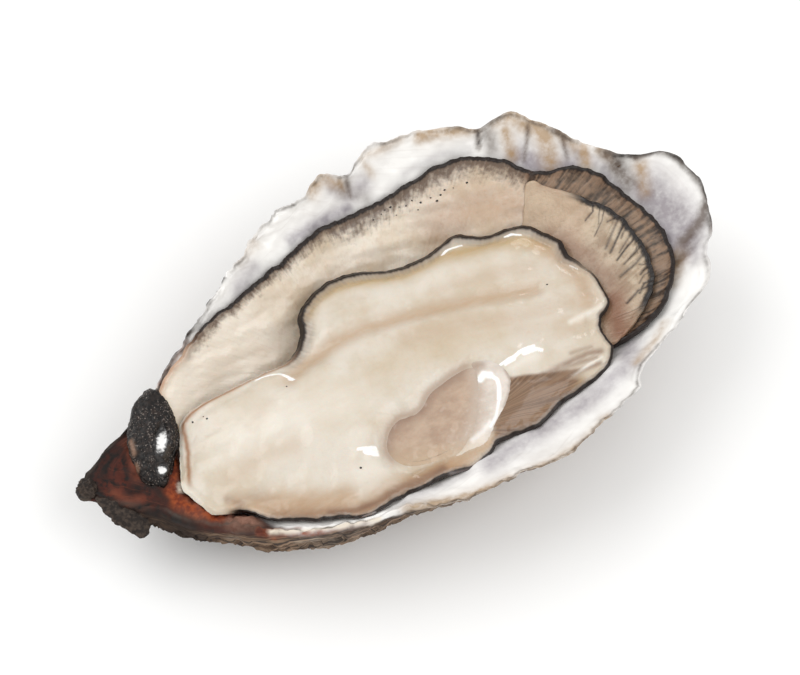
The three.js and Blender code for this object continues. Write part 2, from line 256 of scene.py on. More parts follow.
def ball_blank(sectors, rows):
    def roll(angle, row):
        reach = math.sin(row * math.pi)
        return reach * math.cos(angle), reach * math.sin(angle), math.cos(row * math.pi)

    shape, unit, angle = rolled_grid(sectors, rows, roll)
    return shape, angle, np.arctan2(np.hypot(unit[:, 0], unit[:, 1]), unit[:, 2]) / math.pi


def ring_blank(sectors, rows):
    def roll(angle, row):
        reach = 1 - RING_TUBE * math.cos(row * TURN)
        return reach * math.cos(angle), reach * math.sin(angle), RING_TUBE * math.sin(row * TURN)

    shape, unit, angle = rolled_grid(sectors, rows, roll)
    inward = 1 - np.hypot(unit[:, 0], unit[:, 1])
    return shape, angle, (np.arctan2(unit[:, 2], inward) / TURN) % 1


# %% Move the vertices, and push them along their normals
def put(shape, places):
    for vertex, place in zip(shape.verts, places * MM):
        vertex.co = place


def facing(shape):
    """The outward normal at each vertex."""
    bmesh.ops.recalc_face_normals(shape, faces=shape.faces[:])
    shape.normal_update()
    return np.array([vertex.normal for vertex in shape.verts])


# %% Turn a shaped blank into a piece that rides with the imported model
def finish_piece(name, shape, slot, material, marks=None, stands_for=None):
    """marks holds the numbers, one per vertex, that the material reads as attributes."""
    bmesh.ops.remove_doubles(shape, verts=shape.verts[:], dist=SAME_PLACE)
    bmesh.ops.recalc_face_normals(shape, faces=shape.faces[:])
    for face in shape.faces:
        face.smooth = True
    mesh = bpy.data.meshes.new(name)
    shape.to_mesh(mesh)
    shape.free()
    for key, values in (marks or {}).items():
        kind, field = ("FLOAT_VECTOR", "vector") if values.ndim == 2 else ("FLOAT", "value")
        mesh.attributes.new(key, kind, "POINT").data.foreach_set(field, values.ravel())
    mesh.materials.append(material)
    piece = bpy.data.objects.new(name, mesh)
    bpy.context.scene.collection.objects.link(piece)
    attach(piece, "root")
    if stands_for:
        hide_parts(stands_for)
    triangles = sum(len(face.vertices) - 2 for face in mesh.polygons)
    print(f"{name}: {len(mesh.vertices)} vertices, {triangles} triangles")


# %% [markdown]
# ## Shader maths as plain Python
#
# A material is a graph of nodes, and most of them are sums. Wrapping a socket in a small class
# with Python's operators lets a line such as 1 - mask * 0.5 add the Math nodes by itself. Every
# other node comes from one method, which sets its options first and then feeds its sockets. Most
# finishes are coats of colour, each laid over the last one where its own mask is 1.

# %% A socket that takes part in sums
class Signal:
    """A number, vector or colour that leaves a node."""

    def __init__(self, finish, socket):
        self.finish = finish
        self.socket = socket

    def sum(self, operation, *values, clamp=False):
        options = {"operation": operation, "use_clamp": clamp}
        return self.finish.node("ShaderNodeMath", options, dict(enumerate(values)))

    def __add__(self, other):
        return self.sum("ADD", self, other)

    def __sub__(self, other):
        return self.sum("SUBTRACT", self, other)

    def __mul__(self, other):
        return self.sum("MULTIPLY", self, other)

    def __truediv__(self, other):
        return self.sum("DIVIDE", self, other)

    def __pow__(self, other):
        return self.sum("POWER", self, other)

    def __radd__(self, other):
        return self.sum("ADD", other, self)

    def __rsub__(self, other):
        return self.sum("SUBTRACT", other, self)

    def __rmul__(self, other):
        return self.sum("MULTIPLY", other, self)

    def most(self, other):
        return self.sum("MAXIMUM", self, other)

    def held(self):
        return self.sum("ADD", self, 0.0, clamp=True)

    def step(self, start, end):
        """A soft step from 0 at start to 1 at end."""
        options = {"interpolation_type": "SMOOTHSTEP"}
        inputs = {"Value": self, "From Min": start, "From Max": end}
        return self.finish.node("ShaderNodeMapRange", options, inputs)


# %% One finish, from its nodes to its material
def linear(code):
    """A web colour such as #d8d2cc as the linear numbers that a shader takes."""
    parts = [int(code[i:i + 2], 16) / 255 for i in (1, 3, 5)]
    return tuple(p / 12.92 if p <= 0.04045 else ((p + 0.055) / 1.055) ** 2.4 for p in parts) + (1,)


class Finish:
    """A material being built around its Principled shader."""

    CLOUD_ROUGHNESS = 0.55
    # Of a Mix node: its factor, its two colour inputs and its colour output.
    MIX_SOCKETS = (0, 6, 7, 2)

    def __init__(self, name, **fixed):
        self.material = bpy.data.materials.new(name)
        self.material.use_nodes = True
        self.tree = self.material.node_tree
        self.shader = self.tree.nodes["Principled BSDF"]
        for socket, value in fixed.items():
            self.shader.inputs[socket.replace("_", " ")].default_value = value
        self.place = self.node("ShaderNodeTexCoord", output="Object")

    def node(self, kind, options=None, inputs=None, output=0):
        node = self.tree.nodes.new(kind)
        for option, value in (options or {}).items():
            setattr(node, option, value)
        for socket, value in (inputs or {}).items():
            self.feed(node.inputs[socket], value)
        return Signal(self, node.outputs[output])

    def feed(self, socket, value):
        """A signal is linked, and a number, a vector or a web colour is set."""
        if isinstance(value, Signal):
            self.tree.links.new(value.socket, socket)
        else:
            socket.default_value = linear(value) if isinstance(value, str) else value

    def mark(self, name, output="Fac"):
        """An attribute that the mesh carries."""
        return self.node("ShaderNodeAttribute", {"attribute_name": name}, output=output)

    def noise(self, size, place=None, detail=4.0):
        """Cloudy noise from 0 to 1, with blotches of about size millimetres."""
        inputs = {"Vector": place or self.place, "Scale": 1 / (size * MM), "Detail": detail,
                  "Roughness": self.CLOUD_ROUGHNESS}
        return self.node("ShaderNodeTexNoise", inputs=inputs)

    def noise_at(self, place, detail):
        """Noise at a place that is already scaled, with blotches of about 1."""
        inputs = {"Vector": place, "Scale": 1.0, "Detail": detail}
        return self.node("ShaderNodeTexNoise", inputs=inputs)

    def scaled(self, place, factors):
        return self.node("ShaderNodeVectorMath", {"operation": "MULTIPLY"}, {0: place, 1: factors})

    def shifted(self, place, amount):
        """A place moved along x by a signal."""
        shift = self.node("ShaderNodeCombineXYZ", inputs={"X": amount})
        return self.node("ShaderNodeVectorMath", {"operation": "ADD"}, {0: place, 1: shift})

    def tint(self, mask, below, above):
        """One colour over another where the mask is 1."""
        factor, first, second, result = self.MIX_SOCKETS
        inputs = {factor: mask, first: below, second: above}
        return self.node("ShaderNodeMix", {"data_type": "RGBA"}, inputs, result)

    def coats(self, colour, *coats):
        """Coats of colour over a ground colour: each is a mask and its colour."""
        for mask, above in coats:
            colour = self.tint(mask, colour, above)
        return colour

    def bump(self, height, depth):
        """A normal from a height signal, whose full range is depth millimetres deep."""
        inputs = {"Height": height, "Distance": depth * MM, "Strength": 1.0}
        return self.node("ShaderNodeBump", inputs=inputs)

    def wear(self, **inputs):
        for socket, value in inputs.items():
            self.feed(self.shader.inputs[socket.replace("_", " ")], value)
        return self.material


# %% [markdown]
# ## The shell's form
#
# The cup is one thick wall: a smooth white hollow inside, a wavy crest, and an outside built up
# of layers like roof tiles. One sphere is shaped into all of it. Its upper rows line the hollow,
# a few rows make the thin crest, and the lower rows run down the outside to a flat spot. The
# crest is the driving outline, given as x, y and height. Sides are named by an angle in degrees
# about the middle, 0 at the lip end and 90 on the far side, with a spread on either side of it.

# %% The crest of the rim and the point that the cup turns around
BOWL = (-0.6, 0.1)
RIM = [
    (-48.6, -1.1, 13.0), (-47.0, 1.1, 13.5), (-42.8, 3.2, 14.5), (-38.6, 4.7, 15.8),
    (-34.0, 7.5, 17.0), (-27.0, 11.9, 18.5), (-21.9, 15.5, 19.2), (-14.9, 20.0, 20.0),
    (-7.7, 23.9, 20.5), (-3.0, 24.8, 20.4), (0.8, 26.4, 21.2), (4.2, 25.6, 20.0),
    (8.4, 27.3, 21.2), (12.0, 27.6, 21.4), (19.4, 26.1, 21.0), (25.0, 24.4, 19.9),
    (29.8, 23.5, 21.5), (33.2, 20.5, 21.0), (37.4, 15.5, 20.0), (41.6, 11.1, 20.4),
    (43.8, 10.3, 19.5), (46.6, 8.9, 20.5), (49.2, 4.9, 20.0), (49.0, -0.3, 19.5),
    (47.4, -5.1, 19.0), (45.4, -7.1, 18.5), (44.0, -10.1, 19.0), (41.8, -12.9, 18.9),
    (38.4, -14.2, 18.2), (35.2, -16.5, 18.6), (30.6, -18.3, 18.0), (28.0, -20.6, 18.4),
    (25.6, -22.8, 18.5), (18.8, -25.0, 18.0), (12.0, -27.5, 18.7), (5.7, -26.4, 17.6),
    (-2.2, -27.0, 18.0), (-10.8, -24.5, 17.8), (-19.6, -22.7, 17.3), (-28.8, -18.6, 16.6),
    (-35.8, -13.9, 15.3), (-38.8, -10.5, 14.8), (-43.6, -6.2, 14.0), (-47.2, -3.1, 13.2),
]
RIM_WINDOW = 14
rim = Outline(RIM, BOWL)
calm_rim = rim.calmed(RIM_WINDOW)
print("rim from", rim.radii.min().round(1), "to", rim.radii.max().round(1), "mm off its middle")

# %% The hollow of the cup and the hinge plate
FLOOR = 3.0
DEEP_SIDE = (226, 50)
RUFFLED = (0.62, 0.95)
PLATE_X = -36.6
PLATE_HEIGHT = 15.2
PLATE_SLOPE = 0.13
PLATE_TO_CUP = (-38.6, -28.6)


def swell(angle, middle, spread):
    """1 at an angle in degrees, easing to 0 at its spread on either side."""
    away = np.abs((np.degrees(angle) - middle + 180) % 360 - 180)
    return 1 - soft_step(away, 0, spread)


def cup_inside(x, y):
    """Height of the shell's inner face over a place in plan.

    The open sides climb evenly, while the deep side stays low and rises steeply near the rim. Only
    the outer part follows every wave of the rim.
    """
    angle = rim.angle(x, y)
    calm = calm_rim.share(x, y)
    ruffle = soft_step(calm, *RUFFLED)
    t = np.clip(mix(calm, rim.share(x, y), ruffle), 0, 1)
    crest = mix(calm_rim.height(angle), rim.height(angle), ruffle)
    open_slope = 0.5 * t ** 3 + 0.5 * np.sin(math.pi / 2 * t) ** 2
    deep_slope = 0.2 * t ** 2 + 0.56 * soft_step(t, 0.5, 0.9) + 0.24 * t ** 8
    cup = FLOOR + (crest - FLOOR) * mix(open_slope, deep_slope, swell(angle, *DEEP_SIDE))
    plate = PLATE_HEIGHT + (x - PLATE_X) * PLATE_SLOPE
    return mix(plate, cup, soft_step(x, *PLATE_TO_CUP))


# %% The outer wall
LIP = 0.975
BASE_SHARE = 0.42
FLARE = 0.62
BELLY = 0.8
BELLIES = [(222, 46, 4.2), (192, 20, 4.6), (213, 9, 1.3)]


def wall_radius(angle, rise):
    """Reach of the outer wall at a share of the way up."""
    belly = BELLY + sum(depth * swell(angle, middle, spread) for middle, spread, depth in BELLIES)
    flare = BASE_SHARE + (1 - BASE_SHARE) * rise ** FLARE
    return rim.radius(angle) * flare + belly * 4 * rise * (1 - rise)


# %% Shape the smooth shell
SHELL_SECTORS = 560
SHELL_ROWS = 168
HOLLOW_END = 0.44
CREST_END = 0.48
WALL_END = 0.92
TOWARD_CREST = 1.6
RING_REACH = 30
shell_shape, angle, row = ball_blank(SHELL_SECTORS, SHELL_ROWS)
hollow = stretch(row, 0, HOLLOW_END)
crest = stretch(row, HOLLOW_END, CREST_END)
wall = stretch(row, CREST_END, WALL_END)
base = stretch(row, WALL_END, 1)
rise = (1 - wall) ** TOWARD_CREST
edge = np.column_stack([np.cos(angle), np.sin(angle)])
round_rim = edge * RING_REACH
chips = rough(round_rim, (0.30, 4.0, 11), (0.12, 1.3, 12, 2))
inner_reach = rim.radius(angle) * LIP * hollow * (1.5 - 0.5 * hollow)
lip_reach = rim.radius(angle) * mix(LIP, 1, crest)
outer_reach = wall_radius(angle, rise) * (1 - base)
inside = row <= HOLLOW_END
on_lip = (row > HOLLOW_END) & (row < CREST_END)
reach = np.where(inside, inner_reach, np.where(on_lip, lip_reach, outer_reach))
nearness = np.where(inside, hollow, np.where(on_lip, 1, rise))
reach = reach + chips * soft_step(nearness, 0.9, 1)
x = BOWL[0] + reach * edge[:, 0]
y = BOWL[1] + reach * edge[:, 1]
inner_height = cup_inside(x, y)
crest_height = rim.height(angle) + rough(round_rim, (0.25, 3.2, 13))
lip_start = cup_inside(*rim.at(angle, LIP))
lip_height = mix(lip_start, crest_height, crest)
height = np.where(inside, inner_height, np.where(on_lip, lip_height, rise * crest_height))
shell_places = np.column_stack([x, y, height])
print("shell crest between", crest_height.min().round(1), "and", crest_height.max().round(1), "mm")

# %% [markdown]
# ## Growth layers, creases and flutes
#
# A shell grows by adding a thin layer inside the last one, always larger about the same point at
# the hinge. So the share of the rim's reach from that point, the umbo, is the shell's age. The
# outside steps in at the edge of each layer, like tiles seen from below, and the edges are frilled
# because the age is shifted by random relief. Inside, creases run in from the notches of the
# rim, and low ledges under the near edge of the meat fill the cup up to it. The relief is pushed
# along the normals of the smooth shell.

# %% Age about the umbo, and the stepped layers outside
UMBO = (-42.6, 0.6)
LAYERS = 15
LAYERS_CROWD = 1.25
LAYER_DEPTH = 0.95
LEAST_DEPTH = 0.15
FINE_LINES = 6
FINE_HEIGHT = 0.07
RIM_RELIEF = 0.08
GROWTH_DOWN = 0.26
age = Outline(RIM, UMBO).share(x, y)
phase = LAYERS * age ** LAYERS_CROWD + rough(shell_places, (0.22, 11, 21), (0.09, 3.0, 22))
tile = phase % 1
layer_edge = bell(tile, 1, 0.12) + bell(tile, 0, 0.05)
outside = soft_step(row, 0.47, 0.50)
depth_here = LAYER_DEPTH * (0.55 + rough(shell_places, (0.45, 16, 23)))
depth_here = np.clip(depth_here, LEAST_DEPTH, None)
fine_lines = FINE_HEIGHT * np.sin(phase * FINE_LINES * TURN + rough(shell_places, (2, 5, 24)))
outer_relief = -depth_here * (1 - soft_step(tile, 0.08, 1.0) ** 0.8) + fine_lines
outer_relief += rough(shell_places, (0.16, 2.2, 25))
outer_relief *= mix(RIM_RELIEF, 1, soft_step(1 - nearness, 0.02, 0.26))
down_the_wall = GROWTH_DOWN * (1 - rise) + rough(shell_places, (0.004, 7, 26))
growth = np.where(row > CREST_END, down_the_wall, age)
print("steps between layers up to", depth_here.max().round(2), "mm deep")

# %% Creases, flutes and thin layers inside
CREASES = [
    ([(4.3, 27.0), (4.1, 24.6), (3.8, 22.6)], 0.8, 0.8),
    ([(25.6, 25.2), (24.8, 23.0), (23.9, 21.0)], 0.8, 0.9),
    ([(32.0, 22.0), (30.2, 19.0), (28.8, 16.6)], 0.5, 0.6),
    ([(36.6, 17.2), (35.2, 14.2)], 0.6, 0.6),
    ([(41.8, 12.4), (40.2, 10.2), (38.4, 8.4)], 1.1, 1.0),
    ([(47.6, -4.6), (44.8, -4.8), (41.8, -5.4)], 0.9, 0.8),
    ([(-12.6, 23.2), (-10.8, 21.0)], 0.6, 0.5),
    ([(45.2, -8.0), (42.6, -7.8)], 0.6, 0.4),
    ([(38.2, -14.8), (36.6, -13.4)], 0.6, 0.4),
    ([(5.7, -27.0), (5.9, -24.8)], 0.8, 0.3),
]
CREASE_DEPTH = 0.8
FLUTES = 34
FLUTED_SIDE = (32, 44)
FLUTE_DEPTH = 0.24
THIN_LAYERS = 42
THIN_DEPTH = 0.10
LEDGES = [
    [([(1.0, -22.4), (5.0, -21.8), (9.0, -21.2), (14.0, -20.8), (20.0, -19.4), (26.0, -17.0)],
      2.2, 0.75)],
    [([(2.0, -21.4), (5.0, -20.6), (9.6, -20.2)], 1.8, 0.7),
     ([(14.0, -19.6), (19.0, -18.4), (24.0, -17.4)], 1.6, 0.45)],
    [([(-9.0, -22.2), (-5.6, -21.7), (-2.4, -21.8)], 1.3, 0.45)],
]
crease = strokes(shell_places, CREASES)
flutes = np.sin(angle * FLUTES + rough(round_rim, (2.2, 9, 31))) * swell(angle, *FLUTED_SIDE)
near_rim = soft_step(hollow, 0.80, 0.95) * mix(1, 0.35, soft_step(hollow, 0.93, 1))
thin_layers = (age * THIN_LAYERS + rough(shell_places, (0.5, 6, 32))) % 1
inner_relief = -CREASE_DEPTH * crease * near_rim - FLUTE_DEPTH * flutes * near_rim
inner_relief += THIN_DEPTH * (thin_layers - 0.5) * soft_step(hollow, 0.9, 0.97)
inner_relief += rough(shell_places, (0.10, 6, 33), (0.03, 1.5, 34))
for ledges in LEDGES:
    inner_relief += strokes(shell_places, ledges)
print("creases", len(CREASES), "and ledges up to", inner_relief.max().round(2), "mm high")

# %% [markdown]
# ## The worn hinge plate
#
# Between the beak and the meat lies the hinge plate: a small triangle of horny brown shell, with
# arcs where older ligament sat, streaks that run back from the beak, and lumps along its near
# side. It's part of the same mesh, so its relief takes the place of the inner face's there.

# %% Relief of the hinge plate
BEAK = (-48.0, -2.0)
PLATE_LEAN = 0.42
PLATE_TURN_Y = 4
PLATE_FADE = (-1.0, 1.5)
ARC_PITCH = 1.5
ARC_HEIGHT = 0.16
STREAKS = 17
STREAK_HEIGHT = 0.12
LUMPS = [
    ([(-32.2, -15.6), (-30.2, -16.7)], 1.5, 0.8),
    ([(-36.8, -10.2), (-35.4, -11.9)], 1.1, 0.7),
    ([(-38.2, -13.0)], 0.9, 0.9),
    ([(-44.4, -6.6), (-42.2, -7.9)], 0.8, 0.6),
]
plate_end = PLATE_X - PLATE_LEAN * (y - PLATE_TURN_Y)
plate_part = 1 - soft_step(x - plate_end, *PLATE_FADE)
from_beak = np.hypot(x - BEAK[0], y - BEAK[1])
beak_angle = np.arctan2(y - BEAK[1], x - BEAK[0])
arcs = np.sin(from_beak * TURN / ARC_PITCH + rough(shell_places, (1.5, 5, 41)))
streaks = np.sin(beak_angle * STREAKS + rough(shell_places, (2, 4, 42)))
plate_relief = ARC_HEIGHT * arcs + STREAK_HEIGHT * streaks
plate_relief = plate_relief + rough(shell_places, (0.22, 2.4, 43))
lump = strokes(shell_places, [(path, width, 1.0) for path, width, height in LUMPS])
inner_relief = mix(inner_relief, plate_relief, plate_part) + strokes(shell_places, LUMPS)
print("hinge plate with", len(LUMPS), "lumps over", (plate_part > 0.5).sum(), "vertices")

# %% Push the relief into the mesh, keeping the flat spot on the table
put(shell_shape, shell_places)
normals = facing(shell_shape)
relief = mix(inner_relief, outer_relief, outside)
shell_places = shell_places + normals * relief[:, None]
shell_places[:, 2] = np.maximum(shell_places[:, 2], 0)
put(shell_shape, shell_places)
print("shell relief from", relief.min().round(2), "to", relief.max().round(2), "mm")

# %% [markdown]
# ## Where the shell's colours lie
#
# Colour on a shell isn't random: tan and brown stains sit in the creases and along the crest, and
# the hinge is rusty. Some strokes are painted light instead: lavender grey is painted shade along
# the hollow next to the mantle and the meat, the brown in the creases is partly painted shade, and
# the small cream spot by the ligament is a painted highlight. Each colour gets soft brush strokes
# in
# plan, stored on the vertices as one number per colour. Other marks follow the form, such as the
# edges of the layers outside. The material only has to mix the colours by these numbers and
# roughen their borders with noise.

# %% Brush strokes on the inner face
# Painted shade in a lavender grey, along the hollow next to the mantle and the body's edge.
LAVENDER_SHADE = [
    ([(-17.0, 16.4), (-13.6, 18.4)], 1.1, 0.5),
    ([(-7.0, 20.6), (-1.0, 21.7), (3.0, 22.2)], 0.8, 0.8),
    ([(1.6, 24.6), (3.2, 23.4), (6.4, 24.0)], 1.2, 0.6),
    ([(12.3, 23.4), (18.4, 23.4), (22.4, 22.2)], 0.5, 0.28),
    ([(28.3, 18.4), (31.2, 15.4), (34.6, 13.6)], 1.9, 1.0),
    ([(34.9, 16.4), (37.4, 12.0)], 1.0, 0.6),
    ([(38.2, 10.4), (39.3, 8.0)], 1.2, 0.8),
    ([(42.7, 5.4), (44.3, 1.1), (44.8, -2.6), (42.9, -5.0)], 3.0, 1.0),
    ([(41.8, 6.2), (42.8, 1.3), (41.9, -3.5)], 1.9, 1.0),
    ([(29.0, -14.6), (26.8, -18.0), (21.0, -19.6), (15.0, -20.6), (8.0, -21.4), (3.0, -22.4)],
     1.9, 0.72),
    ([(3.0, -22.4), (-4.4, -22.2), (-10.0, -22.8)], 0.9, 0.35),
]
TAN = [
    ([(-1.6, 25.0), (0.6, 26.0), (2.8, 24.7)], 0.9, 0.8),
    ([(7.0, 26.6), (14.5, 26.9)], 0.6, 0.5),
    ([(7.2, 26.4), (7.9, 24.8)], 0.7, 0.5),
    ([(16.0, 26.2), (19.9, 25.4), (24.6, 24.6)], 0.8, 0.95),
    ([(27.6, 24.0), (29.4, 23.2), (31.2, 21.6), (33.0, 19.8)], 1.3, 1.0),
    ([(28.0, 22.0), (27.7, 19.1)], 1.0, 0.9),
    ([(32.8, 19.4), (32.2, 15.6)], 1.4, 1.0),
    ([(34.6, 18.2), (36.1, 15.7)], 0.9, 0.8),
    ([(36.9, 14.8), (36.2, 12.3)], 0.9, 0.9),
    ([(38.6, 13.3), (39.8, 11.3)], 0.7, 0.7),
    ([(43.2, 9.0), (42.4, 5.8)], 1.0, 0.8),
    ([(41.8, -5.6), (38.8, -8.8)], 1.2, 0.8),
    ([(34.6, -14.4), (32.0, -16.4), (28.0, -18.4)], 0.7, 0.6),
    ([(20.0, -24.8), (15.6, -26.8), (9.8, -27.6), (6.7, -27.0), (2.1, -27.0), (-2.1, -26.4),
      (-6.1, -25.5), (-10.3, -24.9)], 1.1, 1.0),
    ([(-12.0, 21.0), (-15.4, 19.6)], 0.8, 0.35),
]
# Brown stains, partly painted shade in the creases and notches of the rim.
BROWN_AND_SHADE = [
    ([(4.3, 26.6), (4.1, 25.2), (3.8, 23.4)], 0.5, 0.8),
    ([(2.6, 24.2), (4.1, 23.3), (5.8, 22.5)], 0.9, 0.36),
    ([(24.9, 25.0), (24.4, 23.4), (24.0, 22.4)], 0.5, 0.85),
    ([(25.6, 24.2), (26.0, 22.6), (25.6, 21.2)], 1.1, 0.65),
    ([(25.4, 24.4), (28.2, 23.8)], 0.7, 0.6),
    ([(34.4, 18.8), (35.4, 17.2)], 0.6, 0.7),
    ([(31.2, 21.0), (30.0, 19.2), (29.0, 17.7)], 0.35, 0.9),
    ([(34.9, 17.4), (34.5, 14.8)], 0.35, 0.75),
    ([(39.6, 12.2), (40.4, 10.2), (40.8, 8.0)], 1.3, 1.0),
    ([(48.4, -1.2), (47.0, -2.6), (45.2, -3.4), (43.3, -3.9)], 1.0, 1.0),
    ([(43.8, -4.8), (40.8, -6.2)], 0.9, 0.7),
    ([(41.4, 11.6), (43.5, 10.0), (45.8, 9.6), (47.9, 7.6), (49.3, 4.4), (49.0, -0.4),
      (47.4, -5.0)], 0.45, 1.0),
    ([(43.0, 3.6), (44.6, 0.2), (45.0, -2.0)], 2.4, 0.22),
    ([(1.0, -27.3), (-6.0, -26.2), (-12.0, -24.9)], 0.35, 0.7),
]
RUST = [
    ([(-38.2, -7.4), (-37.2, -9.6), (-35.6, -11.8), (-33.8, -13.4)], 1.1, 1.0),
    ([(-29.8, -18.6), (-28.5, -19.6), (-24.6, -21.3), (-19.9, -23.2), (-15.4, -24.4)], 0.42, 0.85),
    ([(-29.6, -18.2), (-27.0, -19.3), (-24.4, -20.2)], 0.3, 0.6),
    ([(-34.2, 0.2), (-35.1, -1.6), (-35.6, -3.4), (-36.7, -5.4), (-37.4, -6.8)], 0.5, 0.95),
    ([(-32.6, 7.8), (-32.6, 6.2), (-32.4, 4.3), (-32.7, 3.1)], 0.5, 0.9),
    ([(-31.6, 8.8), (-27.0, 11.6)], 0.4, 0.4),
]
HORN = [
    ([(-47.4, 0.8), (-44.8, 2.4), (-42.2, 3.7), (-39.4, 4.6)], 1.1, 1.0),
    ([(-45.5, -0.2), (-44.2, 0.8), (-42.9, 1.5), (-41.5, 1.7)], 0.5, 0.8),
    ([(-46.7, -0.9), (-46.4, -3.1), (-45.5, -4.9), (-44.2, -6.3), (-42.6, -7.2), (-41.2, -7.3)],
     0.38, 1.0),
    ([(-41.1, 2.0), (-41.8, -0.5), (-42.3, -2.3)], 0.24, 0.8),
    ([(-42.1, 2.7), (-42.8, 0.6), (-43.2, -0.6)], 0.2, 0.6),
    ([(-39.8, -4.6), (-38.9, -8.0)], 0.6, 0.8),
    ([(-42.0, -8.0), (-40.5, -9.6), (-38.7, -11.2), (-37.2, -13.0)], 0.7, 0.9),
    ([(-47.6, -0.6), (-46.9, -2.4)], 0.7, 1.0),
    ([(40.1, 11.4), (41.8, 10.9), (44.2, 10.2), (46.6, 9.0), (48.4, 6.4), (49.4, 3.2), (49.0, -0.6),
      (47.5, -5.0)], 0.26, 0.9),
    ([(25.1, 24.6), (24.5, 23.6), (24.2, 22.8)], 0.2, 0.7),
    ([(20.6, 25.7), (24.6, 24.7), (28.4, 24.0)], 0.2, 0.6),
    ([(-33.0, 8.2), (-27.0, 12.0), (-21.9, 15.6), (-18.4, 17.8)], 0.22, 0.9),
    ([(-25.6, -21.4), (-20.4, -22.9), (-15.4, -24.2), (-10.8, -24.7)], 0.16, 0.7),
    ([(-2.2, -27.3), (5.7, -26.8), (12.0, -27.9), (18.8, -25.4), (25.6, -23.2)], 0.28, 0.75),
]
ROSE = [
    ([(-40.2, 3.4), (-40.6, -0.2), (-41.0, -3.0)], 0.7, 0.9),
    ([(-44.6, -3.4), (-43.6, -5.4), (-41.8, -6.0)], 0.7, 0.7),
]
# Cream marks; the small spot beside the ligament is a painted highlight.
CREAM_AND_HIGHLIGHT = [
    ([(-36.2, -6.5), (-36.6, -7.5)], 0.3, 1.0),
    ([(-33.6, 2.0), (-34.4, -0.6)], 0.4, 0.6),
    ([(-28.4, -19.0), (-24.4, -20.8), (-19.6, -22.7), (-14.4, -24.0)], 0.26, 1.0),
]

# %% Marks that follow the form
DARK_END = (-44, -4)
LINED_SIDE = (246, 56)
INKED_SIDE = (285, 40)
CREST_ROW = 0.462
to_dark_end = np.hypot(x - DARK_END[0], y - DARK_END[1])
wall_line = bell(rise, 0.90, 0.035) + 0.8 * bell(rise, 0.66, 0.03)
wall_line *= outside * swell(angle, *LINED_SIDE) * stretch(uneven(shell_places, 4, 46), -1.2, 0.2)
colour_border = 0.5 + rough(shell_places, (0.005, 2.4, 44))
broken = stretch(uneven(round_rim, 5, 45), -1.1, 0.4) + 0.5 * swell(angle, *INKED_SIDE)
shell_marks = {
    "outside": soft_step(row - colour_border, -0.01, 0.01),
    "growth": growth,
    "layer": layer_edge * outside,
    "crest": bell(row, CREST_ROW, 0.012) * np.clip(broken, 0, 1),
    "plate": plate_part,
    "lump": lump * (1 - outside),
    "beak": outside * soft_step(-to_dark_end, -17, -10),
    "wall_line": wall_line,
}
for name, rows in (("lavender_shade", LAVENDER_SHADE), ("tan", TAN), ("brown_and_shade", BROWN_AND_SHADE), ("rust", RUST),
                   ("horn", HORN), ("rose", ROSE), ("cream_and_highlight", CREAM_AND_HIGHLIGHT)):
    shell_marks[name] = strokes(shell_places, rows)
print("marks on the shell:", ", ".join(shell_marks))

# %% [markdown]
# ## The shell's finish
#
# Inside, the shell is pearly: white and fairly glossy, with tan stains, lavender-grey painted
# shade, brown that is partly painted shade in the creases and a cream spot that is a painted
# highlight, all with borders broken up by noise. Outside it is chalky and rough, darker in the gaps
# between
# layers and streaked along them. Noise that is stretched along the growth lines needs
# coordinates that follow them, so the age is one of its inputs.

# %% Mix the shell's colours
NOISE_SCALE = 120
BANDS = 60
LINES = 230


